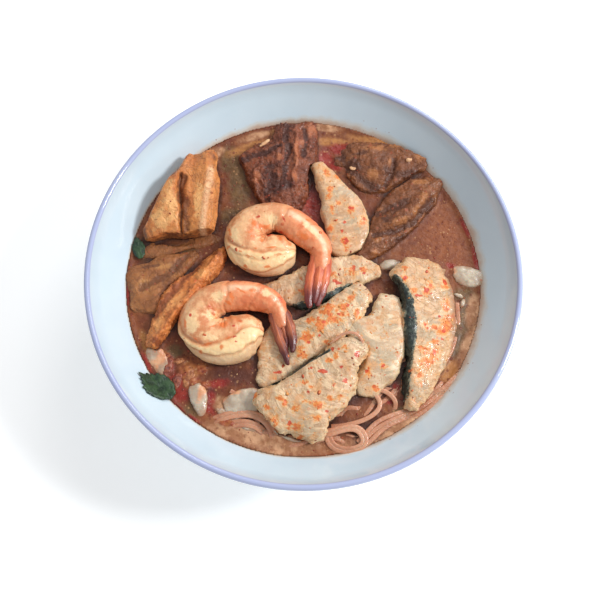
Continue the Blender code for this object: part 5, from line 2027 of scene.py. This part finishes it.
            Patch(24.0, 36.2, 1.9, 0.9, -8), Patch(20.6, 28.4, 0.9, 1.1), Patch(19.4, 24.0, 1.1, 1.1), Patch(21.4, 17.8, 1.5, 2.0)),
            rough=0.4, pulls=(Pull(9.0, 46.0, 1.0, 0.0, 12.0), Pull(13.0, 33.0, -2.2, 0.0, 9.0), Pull(14.5, 25.5, -2.0, 0.0, 5.5),
                              Pull(13.5, 17.0, -4.0, -1.0, 8.0),
                              Pull(27.0, 42.0, 1.0, 0.5, 10.0)),
            finish=FishFlesh(name="smooth_fish", bump=0.2, flesh=((186, 138, 100), (210, 162, 122), (228, 184, 142)))),
        FishSlice("fish_middle", 9, (Patch(14, 1, 4, 2), Patch(24, 2, 4, 2.6), Patch(30, 3, 3, 2), Patch(2, -8, 4, 3)), (
            Patch(16.6, -3.2, 3.2, 1.1, -18), Patch(25.6, -4.2, 1.6, 1.2), Patch(25.2, 3.4, 1.2, 0.8), Patch(30, 1.5, 1.2, 0.9), Patch(25, 5, 0.9, 0.8)),
            rough=1.0, skin=((-12, -17.5), (-4, -16.0), (3, -14.0), (10.7, -11.6), (17, -8.6), (23, -5.6)), skin_width=2.2,
            pulls=(Pull(3.0, -13.0, 0.0, -2.5, 12.0), Pull(15.0, -9.0, 0.0, -2.0, 10.0), Pull(27.0, 8.0, 0.0, 2.0, 8.0))),
    )
    # Light patches hold lighter skin and painted highlights on ridges; dark patches hold darker skin and painted shade
    # in slits, notches and gaps.
    tofu: tuple[TofuPuff, ...] = (
        TofuPuff("tofu_leaning", Fry.GOLDEN, (
            Crease(((-60.2, 18), (-61.0, 26), (-60.7, 33), (-61.8, 40), (-62.6, 46), (-61.8, 52)), 3.4, 0.75),
            Crease(((-61.0, 38), (-61.2, 44), (-60.2, 50)), 2.8, 1.9),
            Crease(((-58.0, 23), (-59.0, 30), (-58.6, 38)), 0.9, 1.8)),
            pulls=(Pull(-72.0, 44.0, 0.6, -1.2, 26.0, 4.0), Pull(-45.0, 64.0, 0.0, 2.0, 9.0), Pull(-80.0, 20.0, -1.0, 0.0, 8.0),
                   Pull(-68.0, 18.5, 0.0, 1.6, 9.0), Pull(-43.0, 57.0, -2.0, 0.0, 8.0), Pull(-66.0, 58.0, 1.6, -1.0, 9.0)),
            torn=((-46.4, 55), (-47.0, 48), (-48.0, 42), (-48.8, 36), (-49.3, 30), (-49.8, 22)), torn_width=2.6,
            puff=0.2, crumb=0.5, cut=(-60.0, 20.8, -84.0),
            light=(Patch(-66, 37, 4, 14, 10), Patch(-71, 29, 6, 8), Patch(-52, 36, 3, 12)),
            dark=(Patch(-61.4, 44, 2.0, 8, 2), Patch(-61.0, 30, 1.2, 10, 1), Patch(-45.0, 62.0, 1.2, 2.0),
                  Patch(-57, 25, 2, 2), Patch(-66, 53, 2, 3))),
        TofuPuff("tofu_strip", Fry.BROWN, (
            Crease(((-72, -34), (-62, -20), (-52, -6), (-42, 10)), -1.4, 2.6),
            Crease(((-72, -20), (-62, -6), (-52, 6)), 0.7, 2.0)),
            pulls=(Pull(-66.0, -6.0, -2.2, 1.4, 16.0), Pull(-56.0, -14.0, 1.2, -0.8, 12.0), Pull(-74.0, -32.0, -1.0, -1.0, 8.0)),
            light=(Patch(-63, -14, 4, 9, -40), Patch(-50, 0, 3, 6, -40), Patch(-70, -25, 3, 5, -20)),
            dark=(Patch(-43, 13, 3, 3), Patch(-71, -33, 3, 3)), puff=0.7, crumb=1.5),
        TofuPuff("tofu_flat", Fry.EARTH, (Crease(((-80, -6), (-66, 2), (-58, 12)), 0.8, 2.0),),
                 pulls=(Pull(-78.0, -14.0, -5.0, -3.0, 12.0), Pull(-82.0, 2.0, -5.0, 1.0, 14.0), Pull(-74.0, -14.0, 3.0, -4.0, 10.0),
                        Pull(-70.0, 12.0, -2.0, 2.0, 9.0)),
                 dark=(Patch(-76, 6, 8, 1.2, 8), Patch(-68, -6, 2, 6, -40)), light=(Patch(-70, 6, 6, 2), Patch(-78, -4, 4, 5)),
                 puff=0.5, crumb=0.8),
        TofuPuff("tofu_dark", Fry.DARK, (
            Crease(((-3.8, 84), (-2.8, 76), (-4.2, 69), (-3.0, 61), (-5.2, 54), (-4.6, 49)), -1.6, 1.5),
            Crease(((-8.6, 84), (-9.4, 77), (-7.2, 70), (-9.0, 62)), 1.3, 1.8),
            Crease(((0.8, 82), (1.8, 74), (0.2, 66)), 0.9, 1.4),
            Crease(((-25.0, 58), (-24.6, 50), (-23.6, 43)), -1.0, 1.2),
            Crease(((-18, 60), (-16, 52), (-18, 44)), 0.9, 3.0),
            Crease(((-29, 66), (-20, 67), (-12, 72)), 0.8, 1.6)),
            pulls=(Pull(-30.0, 66.0, -4.0, 1.5, 8.0), Pull(-17.0, 77.0, 3.0, -3.5, 8.0),
                   Pull(4.0, 84.0, 2.5, 3.0, 8.0), Pull(3.0, 50.0, -3.6, 0.0, 13.0), Pull(0.0, 38.0, -3.0, 0.0, 9.0)),
            light=(Patch(5, 82, 5, 6), Patch(-3.4, 68, 1.6, 12, 0), Patch(-4.4, 54, 2.2, 4), Patch(-24, 54, 2.4, 4),
                   Patch(-17, 57, 2.0, 2.0), Patch(-24.6, 45, 0.9, 4), Patch(0, 74, 1.6, 2.4), Patch(-12, 65, 2.4, 2.4)),
            dark=(Patch(-9, 81, 3, 3.4), Patch(-13, 48, 9, 6), Patch(-30, 64, 3, 3), Patch(-9, 58, 2, 8)),
            slot="soaked_tofu", puff=0.6, crumb=1.9),
        TofuPuff("tofu_back", Fry.RUSSET, (
            Crease(((47, 64), (46, 57), (42, 50)), 2.0, 1.6), Crease(((18, 70), (24, 60), (34, 50)), 1.0, 2.2),
            Crease(((52, 70), (62, 64)), -0.9, 3.0), Crease(((36, 70), (38, 60)), -0.8, 3.0)),
            pulls=(Pull(63.0, 64.0, 2.5, 0.0, 8.0), Pull(18.0, 68.0, 8.0, -1.0, 14.0)),
            light=(Patch(38, 71, 7, 2.4), Patch(50, 73, 6, 2), Patch(60, 65, 4, 3), Patch(36, 56, 4, 3), Patch(45, 63, 2, 3)),
            dark=(Patch(54, 57, 9, 2.4, 8), Patch(38, 49, 7, 2.4, 20), Patch(44, 58, 3, 4), Patch(26, 62, 5, 5),
                  Patch(30, 68, 5, 2)),
            slot="soaked_tofu", puff=0.5, crumb=1.3),
        TofuPuff("tofu_right", Fry.RUSSET, (
            Crease(((36, 22), (46, 24), (56, 30), (66, 42)), 1.6, 1.6),
            Crease(((38, 34), (46, 38), (52, 40)), 1.2, 2.0), Crease(((44, 28), (54, 33), (62, 43)), -1.2, 2.6)),
            pulls=(Pull(70.0, 52.0, 2.0, 2.0, 9.0),),
            light=(Patch(50, 29.4, 6, 2.6, 10), Patch(57, 35, 3, 4, -30), Patch(61, 42, 2.4, 5, -20), Patch(37, 20, 2.6, 2.4),
                   Patch(60, 52, 5, 2), Patch(40, 36, 2.4, 2.4), Patch(36, 13, 2, 2)),
            dark=(Patch(65, 38, 4, 3.4), Patch(48, 38, 5, 4, 30), Patch(50, 21, 8, 1.8, 22), Patch(42, 30, 3, 2.4)),
            slot="soaked_tofu", puff=0.5, crumb=1.3),
        TofuPuff("tofu_sunk", Fry.EARTH, slot="soaked_tofu", puff=0.5, crumb=0.7),
    )
    pale: tuple[PalePiece, ...] = (
        PalePiece("pale_piece_right", pulls=(Pull(78.0, 4.0, 3.4, -1.0, 30.0), Pull(88.0, 1.0, 1.5, -0.5, 8.0)),
                  stains=(Patch(74, 4, 3, 3),)),
        PalePiece("pale_piece_left", lift=-0.3, stains=(Patch(-68, -40, 4, 7), Patch(-72, -45, 4, 4))),
        PalePiece("pale_piece_lower_left", stains=(Patch(-48.6, -57.6, 2.6, 6, -16),)),
        PalePiece("pale_piece_front_left", 0.4, lift=0.2, stains=(Patch(-39, -60, 4, 4), Patch(-33, -57.5, 5, 1.6))),
        PalePiece("pale_piece_front", 0.35), PalePiece("pale_piece_middle", 0.4, lift=-0.3),
    )
    leaves: tuple[Coriander, ...] = (
        Coriander("coriander_on_the_wall", -69.3, -54.4, 148.0, 9.4, 6.0),
        Coriander("coriander_by_the_tofu", -82.8, 16.4, 105.0, 6.2, 3.2),
    )

    def build(self) -> None:
        """Make the bowl, the food, the broth round it and the sprinklings on it."""
        bowl = self.bowl.build()
        prawns = [prawn.build() for prawn in self.prawns]
        fish = [piece.build() for piece in self.fish]
        tofu = [puff.build() for puff in self.tofu]
        pale = [piece.build() for piece in self.pale]
        noodles = NoodleNest().build()
        leaves = [leaf.build(bowl) for leaf in self.leaves]
        scraps = [scrap.build() for scrap in self.scraps()]
        soup = Soup(self.bowl).build(prawns + fish + tofu + pale + noodles + leaves + scraps)
        chilli = Tint(name="chilli", dark=(196, 78, 44), light=(226, 128, 72), roughness=0.4)
        turmeric = Tint(name="turmeric_paste", dark=(216, 130, 62), light=(232, 164, 92), roughness=0.5)
        paste = Tint(name="chilli_paste", dark=(128, 44, 30), light=(170, 72, 46), roughness=0.4)
        crumbs = Tint(name="coconut_crumb", dark=(196, 150, 108), light=(224, 188, 146), roughness=0.5)
        for name, finish, count, small, large, flat, seed in (
                ("chilli_flakes", chilli, 16, 0.6, 1.3, 0.12, 3), ("chilli_bits", chilli, 120, 0.2, 0.6, 0.16, 5),
                ("turmeric_bits", turmeric, 90, 0.3, 1.0, 0.12, 9), ("dark_chilli_bits", paste, 60, 0.2, 0.7, 0.14, 21)):
            Sprinkle(name, finish, "fish", count, small, large, flat=flat, seed=seed).build(fish, clusters)
        Sprinkle("chilli_on_the_prawns", chilli, "prawns", 34, 0.25, 1.1, flat=0.22, seed=11).build(prawns)
        Sprinkle("paste_in_the_broth", paste, "soup", 620, 0.15, 0.6, flat=0.2, seed=13).build([soup])
        Sprinkle("paste_on_the_tofu", paste, "fried_tofu", 150, 0.15, 0.6, seed=17).build(tofu)
        Sprinkle("crumbs_in_the_broth", crumbs, "soup", 60, 0.2, 0.6, flat=0.2, seed=19).build([soup])

    @staticmethod
    def scraps() -> list[Scrap]:
        """Small bits of fish, tofu and curd that broke off and float or lie on other pieces."""
        flesh = PaleFlesh()
        chilli = Tint(name="chilli", dark=(196, 78, 44), light=(226, 128, 72), roughness=0.4)
        paste = Tint(name="red_paste", dark=(108, 50, 40), light=(156, 84, 60), grain=420.0, bump=0.3)
        curd = Tint(name="orange_curd", dark=(140, 78, 50), light=(196, 130, 82), grain=380.0, bump=0.3)
        sponge = Tint(name="tofu_sponge", dark=(206, 150, 106), light=(232, 186, 142), roughness=0.6)
        return [
            Scrap("flake_off_the_fish", (78.4, -12.9, 0.6), 60, (2.4, 1.1, 1.0), flesh, "fish"),
            Scrap("flake_by_the_fish", (76.6, -8.9, 0.5), -20, (2.2, 1.0, 0.9), flesh, "fish"),
            Scrap("tofu_crumb", (8.8, 50.2, 1.6), 95, (3.6, 2.2, 1.8), sponge, "fried_tofu"),
            Scrap("curd_on_the_dark_tofu", (-20.0, 72.6, 6.4), 40, (3.4, 0.9, 0.8), sponge, "fried_tofu"),
            Scrap("curd_on_the_tofu", (25.3, 58.5, 5.6), -25, (1.8, 1.0, 0.7), sponge, "fried_tofu"),
            Scrap("curd_at_the_back", (54.7, 63.4, 5.4), 15, (1.5, 1.1, 0.7), sponge, "fried_tofu"),
            Scrap("paste_by_the_leaf", (-65.0, -44.6, 0.2), 78, (5.2, 2.2, 1.1), paste, "pale_pieces"),
            Scrap("curd_in_the_corner", (-54.8, -50.2, 0.1), 80, (5.0, 2.8, 1.0), curd, "pale_pieces"),
            Scrap("paste_in_the_corner", (-60.4, -51.8, 0.1), 70, (4.4, 2.2, 1.0), paste, "pale_pieces"),
            Scrap("curd_by_the_lower_prawn", (-60.0, -42.0, 0.2), 20, (3.0, 1.4, 0.9), curd, "pale_pieces"),
            Scrap("flesh_at_the_front", (-27.0, -72.6, 0.0), -22, (7.5, 2.6, 0.9), flesh, "pale_pieces"),
            Scrap("flesh_by_the_noodles", (-37.0, -67.6, 0.1), -30, (5.0, 1.8, 0.9), flesh, "pale_pieces"),
            Scrap("chilli_by_the_strip", (-52.5, -3.8, 6.6), 60, (1.9, 1.0, 0.6), chilli, "fried_tofu"),
            Scrap("chilli_on_the_strip", (-54.8, -11.8, 6.8), 30, (1.7, 1.3, 0.6), chilli, "fried_tofu"),
        ]


def main() -> None:
    """Build the meal and the studio round it."""
    logging.basicConfig(level=logging.INFO, format="%(name)s: %(message)s")
    Meal().build()
    Studio().build()
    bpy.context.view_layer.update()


if __name__ == "__main__":
    main()
